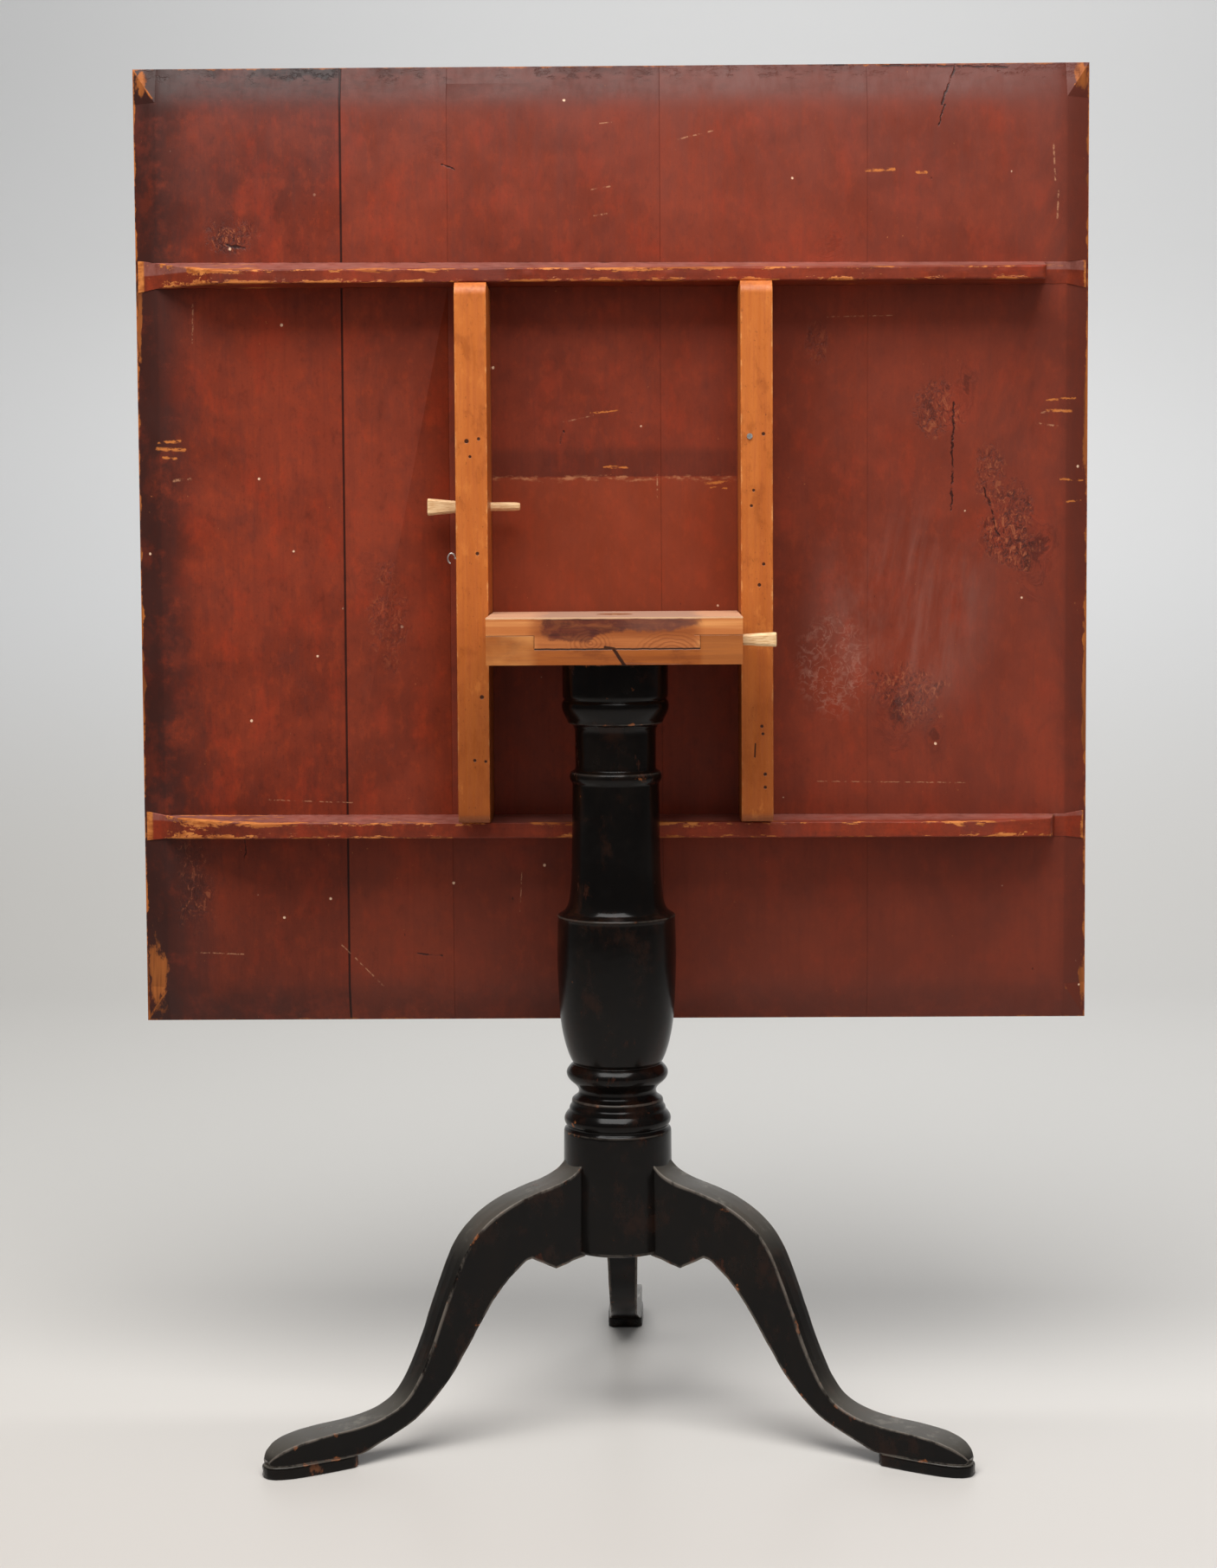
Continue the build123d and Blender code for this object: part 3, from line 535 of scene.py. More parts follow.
def plank_stain_and_glare(g, x, y, z, bands, grain, cloud, chip):
    """Stain, figure and drying cracks of the block's upper plank, with painted glare on its upper face and a
    painted highlight on its rubbed front arris.
    """
    # the ends are cleaner and paler than the handled middle
    pale = g.mix(g.step(bands, 0.4, 0.6), srgb(226, 154, 92), srgb(192, 114, 60))
    g.col = g.mix(g.step(abs(x + (cloud - 0.5) * 0.02), 0.066, 0.080) * 0.9, g.col, pale)
    # figure round two buried knots, seen on the front
    warp = (g.noise(g.vec(x, y * 0.3, z), 60, 3, 0.5) - 0.5) * 0.009
    shapes = []
    for kx, kz, sx, sz, reach in ((-0.021, 0.7225, 1.0, 1.5, 0.026), (0.050, 0.712, 0.8, 1.3, 0.034)):
        d = g.oval(x, z, kx, kz, 1 / sx, 1 / sz) + warp
        shapes.append(g.step(g.math("SINE", d * 1500.0), -0.2, 0.9) * g.step(d, reach, reach * 0.5))
    rings = g.most(shapes)
    g.coat(rings * 0.42, 122, 60, 30)
    g.height += rings * 0.6
    # the purple-brown stain along the upper edge
    edge = g.noise(g.vec(x, y * 0.4, z), 45, 5, 0.65) - 0.5
    low_edge = g.most([g.step(x, -0.03, 0.0, 0.7235, 0.7325), g.step(x, 0.03, 0.06, 0.72, 0.737)])
    purple = g.step(z + edge * 0.020 - low_edge, -0.0015, 0.0025)
    purple = purple * g.step(x + edge * 0.03, -0.066, -0.058) * g.step(x + edge * 0.04, 0.080, 0.068)
    flow = g.noise(g.vec(x * 0.5, y, z), 110, 4, 0.6, 0.8)
    stain = g.mix(g.step(grain, 0.4, 0.6), srgb(84, 36, 33), srgb(66, 28, 26))
    g.col = g.mix(purple * g.step(flow, 0.32, 0.62, 0.58, 0.9), g.col, stain)
    g.coat(purple * g.step(x, -0.00625, 0.025) * 0.35, 128, 84, 72)
    # drying cracks in the upper face, which is painted paler as glare of the light from above
    run = g.noise(g.vec(x * 0.12, y, z * 0.12), 95, 3, 0.6)
    groove = g.step(run, 0.60, 0.68) * g.step(z, 0.7425, 0.7445)
    g.coat(groove * 0.6, 96, 58, 46)
    g.height -= groove * 3.0
    g.coat(g.step(z, 0.7436, 0.7446) * 0.6, 200, 164, 140)
    # the front upper arris is pale: rubbed by handling, with a painted highlight
    rubbed_and_lit = g.step(z + (chip - 0.5) * 0.002, 0.7432, 0.7442) * g.step(y, -0.073, -0.0755)
    g.coat(rubbed_and_lit * 0.7, 232, 188, 146)


def block_pine(name, light, dark, stained=False):
    """Pine of the block: the stained plank, or the plain cleat with its crack."""
    g = Graph(name)
    x, y, z = g.split(g.coord)
    bands, grain, cloud, chip = pine(g, x, y, z, light, dark, 0.8)
    if stained:
        plank_stain_and_glare(g, x, y, z, bands, grain, cloud, chip)
    # the joint between plank and cleat has opened a little in front
    wob = (g.noise(g.vec(x, 0.0, 0.0), 90, 3) - 0.5) * 0.0012
    gap = g.step(abs(z - 0.717 + wob), 0.0011, 0.0004)
    gap = gap * g.step(x, -0.0712, -0.0704) * g.step(x, 0.0764, 0.0756)
    nick = g.step(g.segment(x, z, (-0.008, 0.7185), (0.0, 0.7172)), 0.0016, 0.0008)
    outer = g.step(abs(z - 0.729), 0.0005, 0.0002) * g.step(abs(x), 0.070, 0.072) * 0.5
    lines = [gap, nick, outer]
    for side in (-0.0708, 0.076):
        lines.append(g.step(g.segment(x, z, (side, 0.7175), (side, 0.7285)), 0.0006, 0.0002) * 0.55)
    if not stained:
        jag = (g.noise(g.coord, 240, 2) - 0.5) * 0.001
        lines.append(g.step(g.segment(x + jag, z, (-0.001, 0.7175), (0.009, 0.7022)), 0.0019, 0.0010))
        lines.append(g.step(g.segment(x, z + jag, (0.009, 0.7045), (0.060, 0.7035)), 0.0004, 0.0001) * 0.3)
        g.coat(g.step(g.noise(g.vec(x * 0.5, y, z), 50, 5, 0.7), 0.5, 0.66) * 0.45, 104, 48, 22)
        g.coat(g.step(x, -0.066, -0.074) * g.step(cloud, 0.35, 0.6) * 0.8, 218, 150, 86)
        g.coat(g.step(x, 0.074, 0.080) * 0.2, 196, 128, 72)
    line = g.most(lines) * g.step(y, -0.0740, -0.0755)
    g.coat(line * 0.92, 30, 12, 6)
    g.height -= line * 5.0
    return g.finish(0.0004, 0.4, 0.28)


# ---- black paint, raw wood, iron
def black_paint(name, legs=False):
    """Polished black paint, rubbed through to brown wood on edges and proud parts."""
    g = Graph(name)
    x, y, z = g.split(g.coord)
    mottle = g.noise(g.vec(x, y, z * 0.4), 14, 6, 0.7)
    rub = g.noise(g.vec(x, y, z * 0.5), 38, 5, 0.72)
    streak = g.noise(g.vec(x, y, z * 0.08), 160, 3, 0.6)
    wear = g.attr("wear")
    g.col = g.mix(g.step(mottle, 0.45, 0.7) * 0.6, srgb(11, 9, 8), srgb(25, 18, 13))
    g.coat(g.step(streak, 0.5, 0.75) * 0.3, 12, 11, 11)
    through = g.step(rub + wear * 0.10, 0.645, 0.72) * g.step(mottle, 0.42, 0.58)
    g.coat(through * 0.6, 74, 36, 20)
    hot = g.step(g.noise(g.coord, 70, 4, 0.7) + wear * 0.16, 0.72, 0.79) * g.step(mottle, 0.44, 0.56)
    g.coat(hot * 0.8, 158, 92, 50)
    g.coat(g.step(g.noise(g.vec(x, y, z * 0.7), 24, 5, 0.7), 0.50, 0.68) * 0.55, 44, 24, 15)
    # painted highlight along the arrises, stronger on the legs
    g.coat(g.step(wear, 0.7, 1.0) * g.step(rub, 0.36, 0.52) * (0.8 if legs else 0.3), 108, 100, 92)
    dust = g.step(g.noise(g.coord, 46, 5, 0.7), 0.5, 0.8)
    g.coat(dust * 0.008, 150, 140, 130)
    if legs:
        # dust with painted light on what faces up, bare wood and grime low on the pads
        facing = g.split(Val(g, g.node("ShaderNodeNewGeometry").outputs["Normal"]))[2]
        g.coat(g.step(facing, 0.25, 0.9) * g.step(dust, 0.0, 0.6, 0.24, 0.44), 140, 134, 124)
        g.coat(g.step(z, 0.013, 0.003) * g.step(rub, 0.55, 0.64) * 0.6, 140, 84, 50)
    bare_tenon = g.step(z, 0.7032, 0.7040)
    g.col = g.mix(bare_tenon, g.col, g.mix(streak, srgb(150, 96, 54), srgb(112, 64, 34)))
    g.height = streak * 0.5 + rub * 0.6 + mottle * 0.5
    g.rough = g.step(mottle, 0.3, 0.75, 0.15, 0.27) + through * 0.2
    return g.finish(0.0005, 0.10, 0.17)


def pale_wood(name):
    """Raw whittled wood, grain along x."""
    g = Graph(name)
    x, y, z = g.split(g.coord)
    grain = g.noise(g.vec(x * 0.12, y, z), 900, 3, 0.6)
    cloud = g.noise(g.coord, 90, 4, 0.6)
    g.col = g.mix(g.step(grain, 0.4, 0.7), srgb(236, 200, 152), srgb(206, 158, 106))
    g.coat(g.step(cloud, 0.5, 0.8) * 0.4, 184, 130, 80)
    g.height = grain + cloud
    g.rough = g.step(grain, 0.3, 0.7, 0.5, 0.64)
    return g.finish(0.0003, 0.5)


def iron(name):
    """Dull iron with specks of rust."""
    g = Graph(name)
    rust = g.noise(g.coord, 420, 5, 0.7)
    g.col = g.mix(g.step(rust, 0.54, 0.72), srgb(196, 194, 190), srgb(110, 84, 64))
    g.set("Metallic", 0.85)
    g.height = rust
    g.rough = g.step(rust, 0.4, 0.7, 0.3, 0.6)
    return g.finish(0.0002, 0.4)


MATS = {
    "board": board_paint("red_paint_board"),
    "batten": batten_paint("red_paint_batten"),
    "bearer": bearer_pine("bearer_pine_varnished"),
    "plank": block_pine("block_pine_stained", srgb(180, 106, 58), srgb(138, 70, 32), stained=True),
    "cleat": block_pine("block_pine_plain", srgb(160, 88, 38), srgb(126, 62, 24)),
    "column": black_paint("black_paint_column"),
    "leg": black_paint("black_paint_leg", legs=True),
    "peg": pale_wood("peg_wood_raw"),
    "iron": iron("iron_dull"),
}


# ---- meshes
def make(name, verts, faces, material, body, cad=(), wear=None, sharp=None):
    """A piece of the object from vertices and faces."""
    me = bpy.data.meshes.new(name)
    me.from_pydata([tuple(v) for v in verts], [], faces)
    if wear is not None:
        a = me.attributes.new("wear", "FLOAT", "POINT")
        a.data.foreach_set("value", wear)
    me.materials.append(MATS[material])
    bm = bmesh.new()
    bm.from_mesh(me)
    bmesh.ops.recalc_face_normals(bm, faces=bm.faces)
    bm.to_mesh(me)
    bm.free()
    for poly in me.polygons:
        poly.use_smooth = True
    if sharp is not None:
        me.set_sharp_from_angle(angle=math.radians(sharp))
    me.update()
    ob = bpy.data.objects.new(name, me)
    bpy.context.scene.collection.objects.link(ob)
    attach(ob, body)
    if cad:
        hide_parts(*cad)
    return ob


def ring_faces(rings, count, close=True):
    faces = []
    for i in range(rings - 1):
        for j in range(count):
            k = (j + 1) % count
            faces.append((i * count + j, i * count + k, (i + 1) * count + k, (i + 1) * count + j))
    if close:
        faces.append(tuple(reversed(range(count))))
        faces.append(tuple((rings - 1) * count + j for j in range(count)))
    return faces


def worn_ring(corners, radii, fill, blunt=(), reach=(1.2, 3.5, 8.0), steps=3):
    """Closed ring through rounded corners, always with the same number of points.
    Returns (points, wear); the points near a corner carry the higher wear values, unless
    the corner is blunt."""
    c = [Vector(p) for p in corners]
    n = len(c)
    cuts = []
    for i in range(n):
        back, on = c[i - 1] - c[i], c[(i + 1) % n] - c[i]
        half = back.angle(on, math.pi / 2) / 2
        cuts.append(min(radii[i] / max(math.tan(half), 0.2), back.length * 0.4, on.length * 0.4))
    pts, wear = [], []
    for i in range(n):
        da, db = (c[i - 1] - c[i]).normalized(), (c[(i + 1) % n] - c[i]).normalized()
        for k in range(steps + 1):
            t = k / steps
            pts.append((c[i] + da * cuts[i]) * (1 - t) ** 2 + c[i] * 2 * t * (1 - t)
                       + (c[i] + db * cuts[i]) * t * t)
            wear.append(0.0 if i in blunt else 1.0)
        length = (c[(i + 1) % n] - c[i]).length
        free = length - cuts[i] - cuts[(i + 1) % n]
        scale = min(1.0, 0.4 * free / reach[-1])
        marks = [(m * scale, max(0.0, 1.0 - m / reach[-1])) for m in reach]
        for m, v in marks:
            pts.append(c[i] + db * (cuts[i] + m))
            wear.append(0.0 if i in blunt else v)
        first = cuts[i] + marks[-1][0]
        inner = free - 2 * marks[-1][0]
        for k in range(1, fill[i]):
            pts.append(c[i] + db * (first + inner * k / fill[i]))
            wear.append(0.0)
        for m, v in reversed(marks):
            pts.append(c[i] + db * (cuts[i] + free - m))
            wear.append(0.0 if (i + 1) % n in blunt else v)
    return pts, wear


def lumps(p, scale, seed):
    """Smooth noise in -1..1 at a 3D point in mm."""
    return noise.noise(Vector((p[0] / scale + seed, p[1] / scale + seed * 1.7, p[2] / scale - seed)))


def swept(name, stations, place, section, radius, flats, material, body, cad, seed=0.0,
          amp=0.18, chip=0.5, end_round=0.8, blunt=()):
    """A wooden bar: section(s) gives the corners in mm at station s, place(s, u, v) the point.
    Arrises are rounded by radius(s, corner), which wears unevenly."""
    verts, wear = [], []
    lo, hi = stations[0], stations[-1]
    rows = [(lo, end_round), (lo + 0.3 * end_round, 0.3 * end_round)] + [(s, 0.0) for s in stations[1:-1]]
    rows += [(hi - 0.3 * end_round, 0.3 * end_round), (hi, end_round)]
    count = None
    for s, inset in rows:
        corners = section(s)
        centre = sum((Vector(c) for c in corners), Vector((0, 0))) / len(corners)
        radii = [max(0.25, radius(s, i)) for i in range(len(corners))]
        pts, w = worn_ring(corners, radii, flats, blunt)
        count = len(pts)
        for q, value in zip(pts, w):
            d = q - centre
            if inset:
                d = d - Vector([math.copysign(min(inset, abs(v)), v) for v in d])
            wave = amp * lumps((s, q.x, q.y), 34.0, seed) + 0.4 * amp * lumps((s, q.x, q.y), 9.0, seed + 5)
            inward = -abs(wave) if d.length else 0.0
            inward -= value * chip * max(0.0, lumps((s, q.x * 0.5, q.y * 0.5), 11.0, seed + 9) - 0.15)
            q2 = centre + d * (1 + inward / max(d.length, 1.0))
            verts.append(place(s, q2.x, q2.y))
            wear.append(max(value, 0.9 if inset else 0.0))
    return make(name, verts, ring_faces(len(rows), count), material, body, cad, wear, sharp=55)


def spaced(lo, hi, step):
    n = max(2, int(round((hi - lo) / step)))
    return [lo + (hi - lo) * i / n for i in range(n + 1)]


def blend_at(table, s):
    """Linear interpolation in [(s, value), ...]."""
    if s <= table[0][0]:
        return table[0][1]
    for (a, va), (b, vb) in zip(table, table[1:]):
        if s <= b:
            t = (s - a) / (b - a)
            return va + (vb - va) * t
    return table[-1][1]


# ---- battens
# heights of the low and high side at the underside and at full height, left and right end,
# and the outline (x, p) along the batten
BATTENS = {
    "upper_batten": ((325.0, 349.4, 324.8, 337.2), (324.2, 344.6, 324.2, 336.2),
                     [(-446.7, -10), (-428, 0.3), (-412, 14), (-370, 45), (398, 45), (401, 0.5),
                      (423.9, 0.3), (442.4, -10)]),
    "lower_batten": ((-191.2, -168.8, -188.0, -173.4), (-193.2, -171.8, -189.8, -175.6),
                     [(-446.7, -10), (-430, 0.3), (-410, 17), (-372, 34), (-333, 45), (322, 45),
                      (370, 38), (408, 25), (412, 0.5), (423.9, 0.3), (442.4, -10)]),
}
for name, (left, right, outline) in BATTENS.items():
    seed = 1.3 if name == "upper_batten" else 7.9

    def section(s, left=left, right=right, outline=outline):
        t = (s - TOP_LEFT) / (TOP_RIGHT - TOP_LEFT)
        low, high, flow, fhigh = (a + (b - a) * t for a, b in zip(left, right))
        p = blend_at(outline, s)
        k, q = max(p, 0.0) / BATTEN_P, max(0.0, -p) / TONGUE_D
        foot = -TONGUE_D - 0.05
        return [(low - FLARE, foot), (low - FLARE * q, min(p, 0.0)), (low + (flow - low) * k, p),
                (high + (fhigh - high) * k, p), (high + FLARE * q, min(p, 0.0)), (high + FLARE, foot)]

    def radius(s, i, seed=seed):
        if i not in (2, 3):
            return 0.3
        here = (s, i * 40, 0)
        return 1.1 + 1.6 * max(0.0, lumps(here, 26.0, seed)) + 0.6 * max(0.0, lumps(here, 6.0, seed))

    cuts = spaced(outline[0][0], outline[-1][0], 2.6)
    swept(name + "_painted", cuts, on_top, section, radius, [2, 3, 3, 5, 2, 3],
          "batten", "top", (name,), seed, amp=0.22, chip=1.3, end_round=0.15)

# ---- bearers
for name, x0 in (("left_bearer", -BEARER_IN - BEARER_T), ("right_bearer", BEARER_IN)):
    seed = 3.1 if x0 < 0 else 5.7

    def section(s, x0=x0):
        end = min(BEARER_HIGH - s, s - BEARER_LOW)
        deep = BEARER_P - max(0.0, BEARER_CHAMFER - end)
        return [(x0, 0.3), (x0 + BEARER_T, 0.3), (x0 + BEARER_T, deep), (x0, deep)]

    def radius(s, i, seed=seed):
        return 0.7 + 0.7 * max(0.0, lumps((s, i * 50, 0), 30.0, seed)) if i > 1 else 0.4

    # the lower end is scribed to the batten, which slopes
    cuts = spaced(BEARER_LOW + 3.4, BEARER_HIGH, 4.0)
    swept(name + "_varnished", cuts, lambda s, u, v: on_top(u, s, v), section, radius, [3, 8, 3, 8],
          "bearer", "top", (name,), seed, amp=0.16, chip=0.5, end_round=0.5)

# ---- column
def dense(points, steps=6, corner=0):
    """Catmull-Rom curve through the points; straight between the points before index corner."""
    out = []
    for i in range(len(points) - 1):
        p1, p2 = Vector(points[i]), Vector(points[i + 1])
        p0 = Vector(points[max(i - 1, corner)]) if i > corner else p1 * 2 - p2
        p3 = Vector(points[i + 2]) if i + 2 < len(points) else p2 * 2 - p1
        for k in range(steps):
            t = k / steps
            if i < corner:
                out.append(p1.lerp(p2, t))
            else:
                out.append(0.5 * (2 * p1 + (p2 - p0) * t + (2 * p0 - 5 * p1 + 4 * p2 - p3) * t * t
                                  + (3 * p1 - p0 - 3 * p2 + p3) * t ** 3))
    out.append(Vector(points[-1]))
    return out


def turned(name, profile, segments, material, body, cad, seed):
    """A turned piece: (radius, height) points in mm from the top down, with arrises eased
    and the slight unevenness of old hand turning."""
    path = [Vector(profile[0])]
    for p in profile[1:]:
        p = Vector(p)
        n = max(1, int(math.ceil((p - path[-1]).length / 1.15)))
        start = path[-1].copy()
        path += [start.lerp(p, k / n) for k in range(1, n + 1)]
    for _ in range(2):
        eased = [(a + 2 * b + c) / 4 for a, b, c in zip(path, path[1:], path[2:])]
        path = [path[0], *eased, path[-1]]
    verts, wear = [], []
    for i, q in enumerate(path):
        near = path[max(0, i - 5):i + 6]
        d = path[min(i + 1, len(path) - 1)] - path[max(i - 1, 0)]
        normal = Vector((-d.y, d.x)).normalized()
        proud = (q - sum(near, Vector((0, 0))) / len(near)).dot(normal)
        for k in range(segments):
            a = 2 * math.pi * k / segments
            x, y = math.cos(a), math.sin(a)
            r = q.x
            if r > 1:
                here = (x * 45, y * 45, q.y)
                r += 0.16 * lumps(here, 38.0, seed) + 0.05 * lumps(here, 7.0, seed + 3)
                r -= max(0.0, proud) * 0.5 * max(0.0, lumps(here, 9.0, seed + 6))
            verts.append(Vector((x * r, y * r, q.y)) * MM)
            wear.append(min(1.0, max(0.0, 0.15 + proud * 1.1)))
    return make(name, verts, ring_faces(len(path), segments), material, body, (cad,), wear, sharp=50)


def bulge(a, m, b, n=12):
    """Arc through three (radius, height) points."""
    a, m, b = Vector(a), Vector(m), Vector(b)
    steps = [k / n for k in range(n + 1)]
    return [a * (1 - t) * (1 - 2 * t) + m * 4 * t * (1 - t) + b * t * (2 * t - 1) for t in steps]


PROFILE = [(0.4, 745), (16.6, 745), (17, 744.6), (17, 703), (47.2, 703), (48.2, 701.8), (48.2, 670)]
PROFILE += bulge((46.4, 668), (48.9, 660.5), (43.9, 649))
PROFILE += [(43.4, 646.4), (38.6, 644.6), (38.3, 642.5)] + bulge((38.3, 642.5), (37.2, 640.6), (36.9, 637), 4)
PROFILE += [(36.8, 604), (39.2, 602.2)] + bulge((40.6, 602), (42.3, 597), (40.4, 592)) + [(39.6, 591.4)]
PROFILE += dense([(39.6, 591.4), (40.2, 552), (40.9, 514), (41.9, 497), (43.9, 482), (47.2, 474.4),
                  (52.4, 470.6)], 8)
PROFILE += bulge((52.4, 470.6), (54.1, 469.4), (54.3, 467.6), 4) + [(53.9, 466.4)]
PROFILE += dense([(53.9, 466.4), (54.6, 440), (54.3, 413), (53.0, 385), (51.2, 367), (48.6, 353.5), (45.9, 344),
                  (43.0, 336.6), (40.4, 332)], 8)
PROFILE += bulge((40.4, 332), (46.9, 323), (40.8, 314)) + [(39.6, 313)]
PROFILE += bulge((39.6, 313), (35.6, 305.5), (41.0, 299.4))
PROFILE += [(42.0, 299), (42.4, 293.4), (44.2, 292), (44.6, 288)]
PROFILE += bulge((44.6, 288), (49.2, 281), (46.8, 274.4)) + [(46.6, 272.6), (49.0, 271), (49.6, 269.6)]
PROFILE += [(51, 161.5), (49.5, 160), (0.4, 160)]
turned("column_turned", PROFILE, 132, "column", "base", "column", 2.0)

# ---- legs and foot pads
# side view, distance from the axis and height: matching points of the top and the underside
LEG_TOP = [(46, 244), (54, 236.5), (64, 231.5), (75, 228), (88, 225), (101, 221.5), (115, 217),
           (131, 209.5), (144, 201), (156, 190), (166, 176), (174, 159), (182, 140), (190, 120),
           (198, 99), (207, 79), (216, 63), (226, 51), (239, 43.2), (256.5, 37.7), (277, 35),
           (298, 33.8), (313.5, 32.4), (326, 30.8), (336, 28.2), (344, 25), (351, 20), (354.8, 15)]
LEG_UNDER = [(44, 158.5), (54, 156.6), (64, 153.5), (74.5, 151), (86.5, 157), (99, 163.5), (106, 161.5),
             (113, 156), (120, 150.3), (128, 142.5), (136, 133), (144, 122), (152, 110), (160, 97),
             (168.5, 84.5), (178, 70), (189.5, 56.5), (202, 44), (216, 33), (232.5, 25), (252, 17.5),
             (264, 12.8), (273, 11), (294, 11), (314, 11), (332, 11), (346, 11), (353.5, 11)]
# plan view, distance from the axis and half width
LEG_WIDE = dense([(30, 16.5), (110, 16.3), (160, 14.8), (205, 13.4), (230, 13.6), (262, 15.6), (302, 17),
                  (331, 16.2), (347, 12.5), (354.5, 6.5), (356, 0.6)], 8)
PAD_WIDE = dense([(277, 17.2), (303, 18.2), (333, 17.2), (348.5, 13.2), (355.8, 7), (357.5, 0.0)], 8)
PAD_T, PAD_MID = 11, 312           # thickness, and distance of its middle from the axis
STATION = 2.6                      # nominal spacing of the sections along a leg
tops, unders = dense(LEG_TOP, 5), dense(LEG_UNDER, 5, corner=5)
for side, degrees in (("rear", 89.0), ("left", 210.0), ("right", 330.0)):
    away = Vector((math.cos(math.radians(degrees)), math.sin(math.radians(degrees)), 0))
    across = Vector((-away.y, away.x, 0))
    seed = 11.0 + degrees * 0.037

    def section(s):
        t, b = tops[round(s / STATION)], unders[round(s / STATION)]
        wt, wb, deep = blend_at(LEG_WIDE, t.x), blend_at(LEG_WIDE, b.x), (t - b).length
        return [(-wt, 0), (-wt * 0.4, -0.5), (wt * 0.4, -0.5), (wt, 0), (wb, deep), (-wb, deep)]

    def place(s, u, v, away=away, across=across):
        t, b = tops[round(s / STATION)], unders[round(s / STATION)]
        q = t + (b - t) * (v / (t - b).length)
        return (away * q.x + across * u + Vector((0, 0, q.y))) * MM

    def radius(s, i, seed=seed):
        if i in (0, 3):
            return 0.9 + 0.9 * max(0.0, lumps((s, i * 30, 0), 30.0, seed))
        return 0.6 if i > 3 else 0.3

    cuts = [STATION * k for k in range(len(tops))]
    swept(side + "_leg_sawn", cuts, place, section, radius, [2, 3, 2, 6, 5, 6], "leg", "base",
          (side + "_leg",), seed, amp=0.25, chip=0.7, end_round=0.3, blunt=(1, 2))

    # the pad under the toe
    edge = [Vector((272.5, 13)), *PAD_WIDE]
    ring = [(q.x, q.y) for q in edge] + [(q.x, -q.y) for q in reversed(edge[:-1])]
    verts, wear = [], []
    levels = ((0.0, 1.1), (0.4, 0.35), (1.2, 0.0), (4.5, 0.15), (8.0, 0.0), (9.8, 0.1), (10.7, 0.5),
              (PAD_T, 1.3))
    for z, inset in levels:
        for px, py in ring:
            uneven = 0.35 * abs(lumps((px, py, z * 2), 12.0, seed + 4)) if 0 < z < PAD_T else 0
            d = Vector((px - PAD_MID, py)) * (1 - (inset + uneven) / 18)
            verts.append((away * (PAD_MID + d.x) + across * d.y + Vector((0, 0, z))) * MM)
            wear.append(0.8 if inset > 0.3 else 0.1)
    make(side + "_foot_pad_shaped", verts, ring_faces(len(levels), len(ring)), "leg", "base",
         (side + "_foot_pad",), wear, sharp=60)

# ---- locking pegs
# a point of the axis, the head's tall direction, x of tip, shoulder and end, and the head's heights
PEGS = {"left_peg": (PIVOT + UP * PEG_H, UP, -88.0, -145.0, -174.3, 10.6, 16.0),
        "right_peg": (PIVOT - Vector((0, PEG_H, 0)), Vector((0, 0, 1)), 59.8, 114.0, 144.5, 9.6, 13.0)}
for name, (axis, tall, tip, shoulder, end, h0, h1) in PEGS.items():
    way = 1 if end > tip else -1
    wide_dir = Vector((1, 0, 0)).cross(tall)
    reach = abs(end - tip)
    neck = abs(shoulder - tip)
    seed = 4.4 * way

    def section(s, neck=neck, reach=reach, h0=h0, h1=h1, seed=seed):
        r = 3.95 - 0.6 * max(0.0, 1 - s / 5)
        t = min(1.0, max(0.0, (s - neck + 1.2) / 1.2))
        k = min(1.0, max(0.0, (s - neck) / (reach - neck)))
        a, b = (h0 + (h1 - h0) * k) / 2, (9.0 + k) / 2
        c = 2.0 + 0.5 * lumps((s, 0, 0), 14.0, seed)
        m = r * 0.4142
        ring = [(-a + c, -b), (a - c, -b), (a, -b + c), (a, b - c), (a - c, b), (-a + c, b), (-a, b - c),
                (-a, -b + c)]
        bare = [(-m, -r), (m, -r), (r, -m), (r, m), (m, r), (-m, r), (-r, m), (-r, -m)]
        return [tuple(Vector(p).lerp(Vector(q), t)) for p, q in zip(bare, ring)]

    def place(s, u, v, axis=axis, tall=tall, wide_dir=wide_dir, tip=tip, way=way):
        return axis + (Vector((tip + way * s, 0, 0)) + tall * u + wide_dir * v) * MM

    swept(name + "_whittled", spaced(0, reach, 1.3), place, section, lambda s, i: 0.9, [1] * 8,
          "peg", name, (name,), seed, amp=0.16, chip=0.3, end_round=0.9)


# ---- CAD nodes that stay
def ease(ob, width, segments=2, angle=12):
    """Slightly rounded arrises on a CAD node."""
    weld = ob.modifiers.new("weld", "WELD")
    weld.merge_threshold = 1e-5
    bevel = ob.modifiers.new("ease", "BEVEL")
    bevel.width, bevel.segments = width, segments
    bevel.limit_method = "ANGLE"
    bevel.angle_limit = math.radians(angle)
    bevel.harden_normals = True


for name, ob in nodes.items():
    if name.startswith("plank"):
        ease(ob, 0.0002)
    elif name.startswith("block"):
        ease(ob, 0.0009, 3)

# ---- camera, floor, lights
yaw, pitch, roll = (math.radians(v) for v in (-0.544, 5.574, 0.35))
right = Vector((math.cos(yaw), -math.sin(yaw), 0))
ahead = Vector((math.sin(yaw) * math.cos(pitch), math.cos(yaw) * math.cos(pitch), -math.sin(pitch)))
above = Vector((math.sin(yaw) * math.sin(pitch), math.cos(yaw) * math.sin(pitch), math.cos(pitch)))
cam_r = right * math.cos(roll) - above * math.sin(roll)
cam_u = right * math.sin(roll) + above * math.cos(roll)
cam = bpy.data.objects.new("camera", bpy.data.cameras.new("camera"))
cam.data.sensor_width = 36.0
cam.data.sensor_fit = "AUTO"
cam.data.lens = 65.0106
cam.data.clip_start, cam.data.clip_end = 0.05, 60
m = Matrix((cam_r, cam_u, -ahead)).transposed().to_4x4()
m.translation = Vector((0.0179, -2.5777, 0.8414))
cam.matrix_world = m
bpy.context.scene.collection.objects.link(cam)
bpy.context.scene.camera = cam

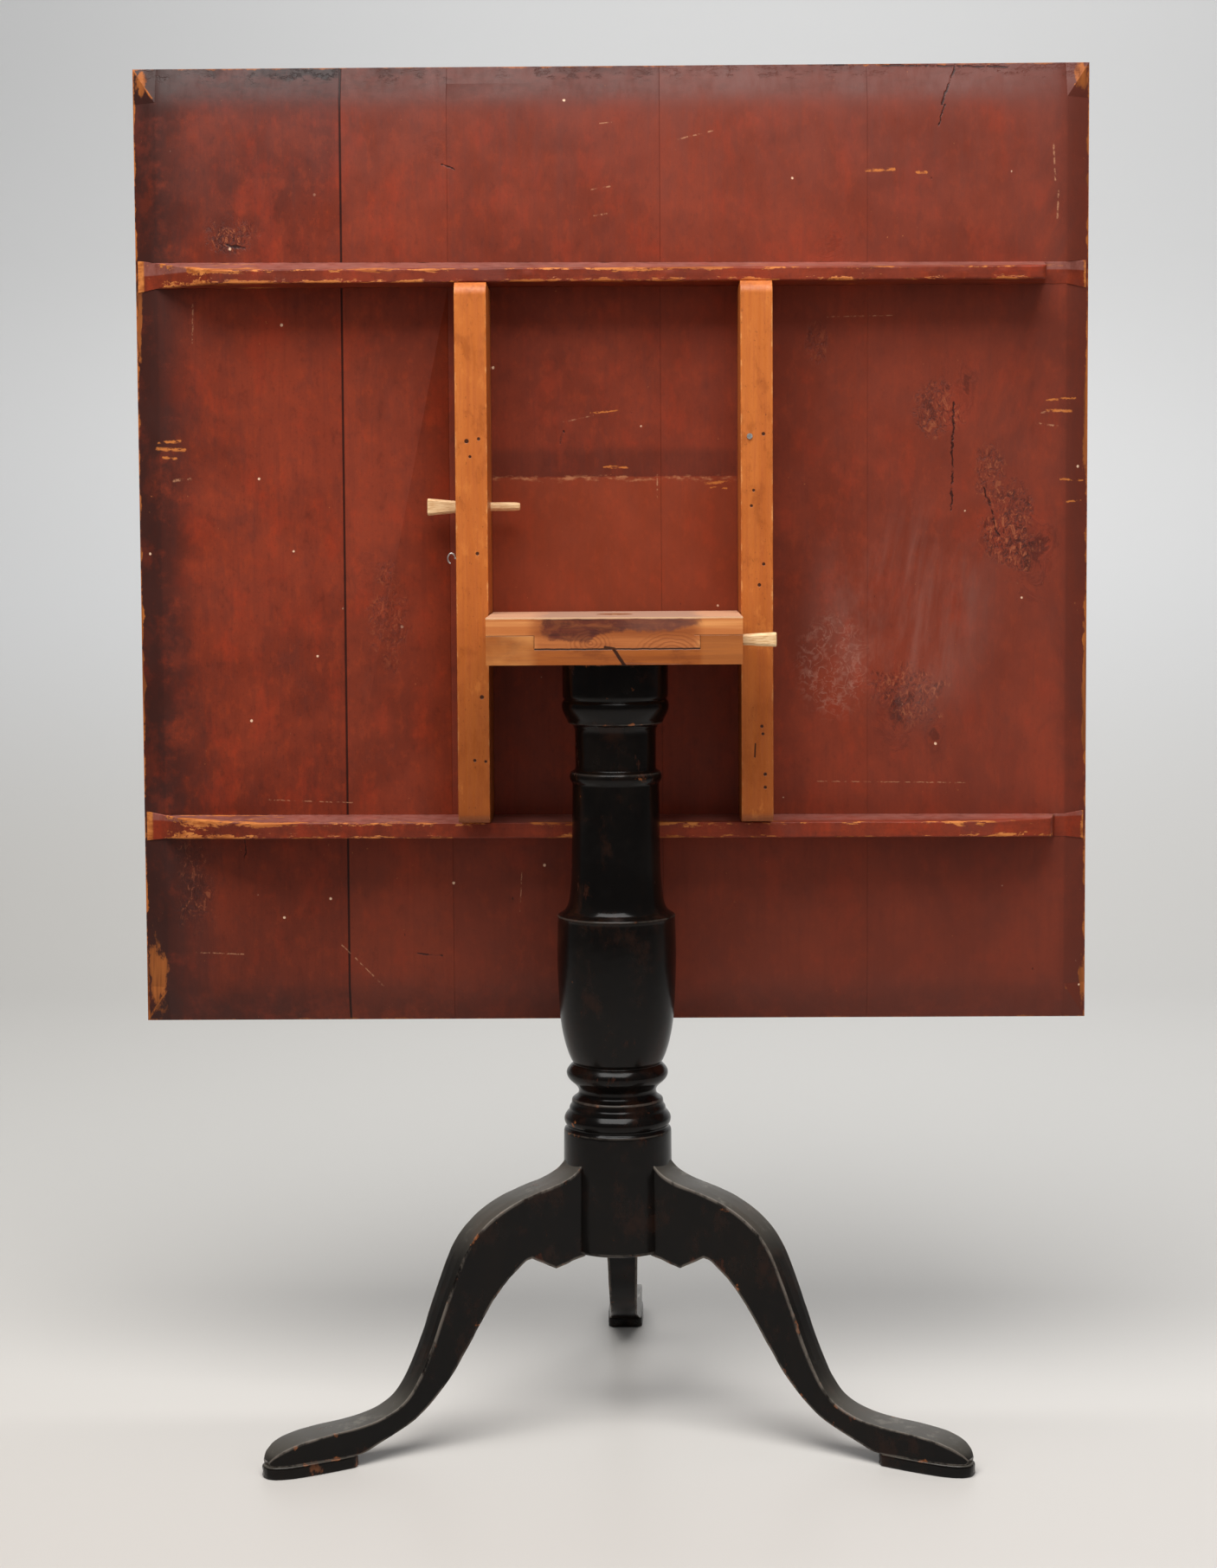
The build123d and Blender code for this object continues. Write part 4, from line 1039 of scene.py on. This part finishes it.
# a seamless sweep: floor, curve and wall
BACK, BEND, HALF_ROOM = 2.3, 1.4, 9.0      # where the floor starts to bend, the bend's radius
turns = [math.radians(90 * i / 24) for i in range(1, 25)]
prof = [(-HALF_ROOM, 0.0), (BACK, 0.0)]
prof += [(BACK + BEND * math.sin(a), BEND * (1 - math.cos(a))) for a in turns] + [(BACK + BEND, 6.0)]
verts = [(sx * HALF_ROOM, y, z) for y, z in prof for sx in (-1, 1)]
faces = [(2 * i, 2 * i + 1, 2 * i + 3, 2 * i + 2) for i in range(len(prof) - 1)]
me = bpy.data.meshes.new("backdrop")
me.from_pydata(verts, [], faces)
for poly in me.polygons:
    poly.use_smooth = True
g = Graph("studio_paper")
x, y, z = g.split(g.coord)
g.col = g.mix(g.step(y, -1.0, 1.2), srgb(199, 193, 187), srgb(200, 198, 194))
g.coat(g.step(z, 0.0, 0.7), 214, 215, 216)
# painted shade towards the top of the wall, and painted light towards the right
g.coat(g.step(z, 0.9, 2.0) * 0.7, 182, 183, 184)
g.coat(g.step(x, -1.2, 1.2) * 0.2, 240, 240, 240)
g.coat(g.noise(g.vec(x, y, z), 1.2, 3, 0.5) * 0.06, 190, 184, 178)
g.set("Base Color", g.col)
g.set("Roughness", 0.42)
g.set("Specular IOR Level", 0.3)
me.materials.append(g.mat)
floor = bpy.data.objects.new("backdrop", me)
bpy.context.scene.collection.objects.link(floor)


def area(name, place, aim, size, power, color=(1, 1, 1)):
    """A rectangular light at place that looks at aim."""
    light = bpy.data.lights.new(name, "AREA")
    light.shape = "RECTANGLE"
    light.size, light.size_y = size
    light.energy = power
    light.color = color
    ob = bpy.data.objects.new(name, light)
    ob.location = place
    ob.rotation_mode = "QUATERNION"
    ob.rotation_quaternion = (Vector(aim) - Vector(place)).to_track_quat("-Z", "Y")
    bpy.context.scene.collection.objects.link(ob)
    return ob


area("key_overhead", (-0.25, -1.0, 3.1), (0, 0.2, 0.6), (2.6, 2.0), 124, (1.0, 0.99, 0.97))
area("wall_wash", (0.4, 1.2, 3.4), (0.3, 3.4, 1.2), (4.0, 1.0), 66)
# the side fills only soften the shadows: no window shapes in the gloss
for name, x, power in (("fill_left", -1.9, 16), ("fill_right", 1.9, 17)):
    fill = area(name, (x, -2.4, 1.8), (0, 0, 0.7), (2.6, 2.2), power)
    fill.visible_glossy = False

world = bpy.data.worlds.new("studio")
world.use_nodes = True
world.node_tree.nodes["Background"].inputs[0].default_value = (0.93, 0.95, 1.0, 1)
world.node_tree.nodes["Background"].inputs[1].default_value = 0.10
bpy.context.scene.world = world
bpy.context.scene.view_settings.view_transform = "Standard"

# finishes of the CAD nodes that stay
FINISH = {"block_plank": "plank", "block_cleat": "cleat", "hinge_pins": "peg", "tenon_wedge": "peg",
          "bearer_nail": "iron", "wire_eye": "iron"}
for name, ob in nodes.items():
    key = "board" if name.startswith("plank") else FINISH.get(name)
    for slot in ob.material_slots if key else ():
        slot.material = MATS[key]
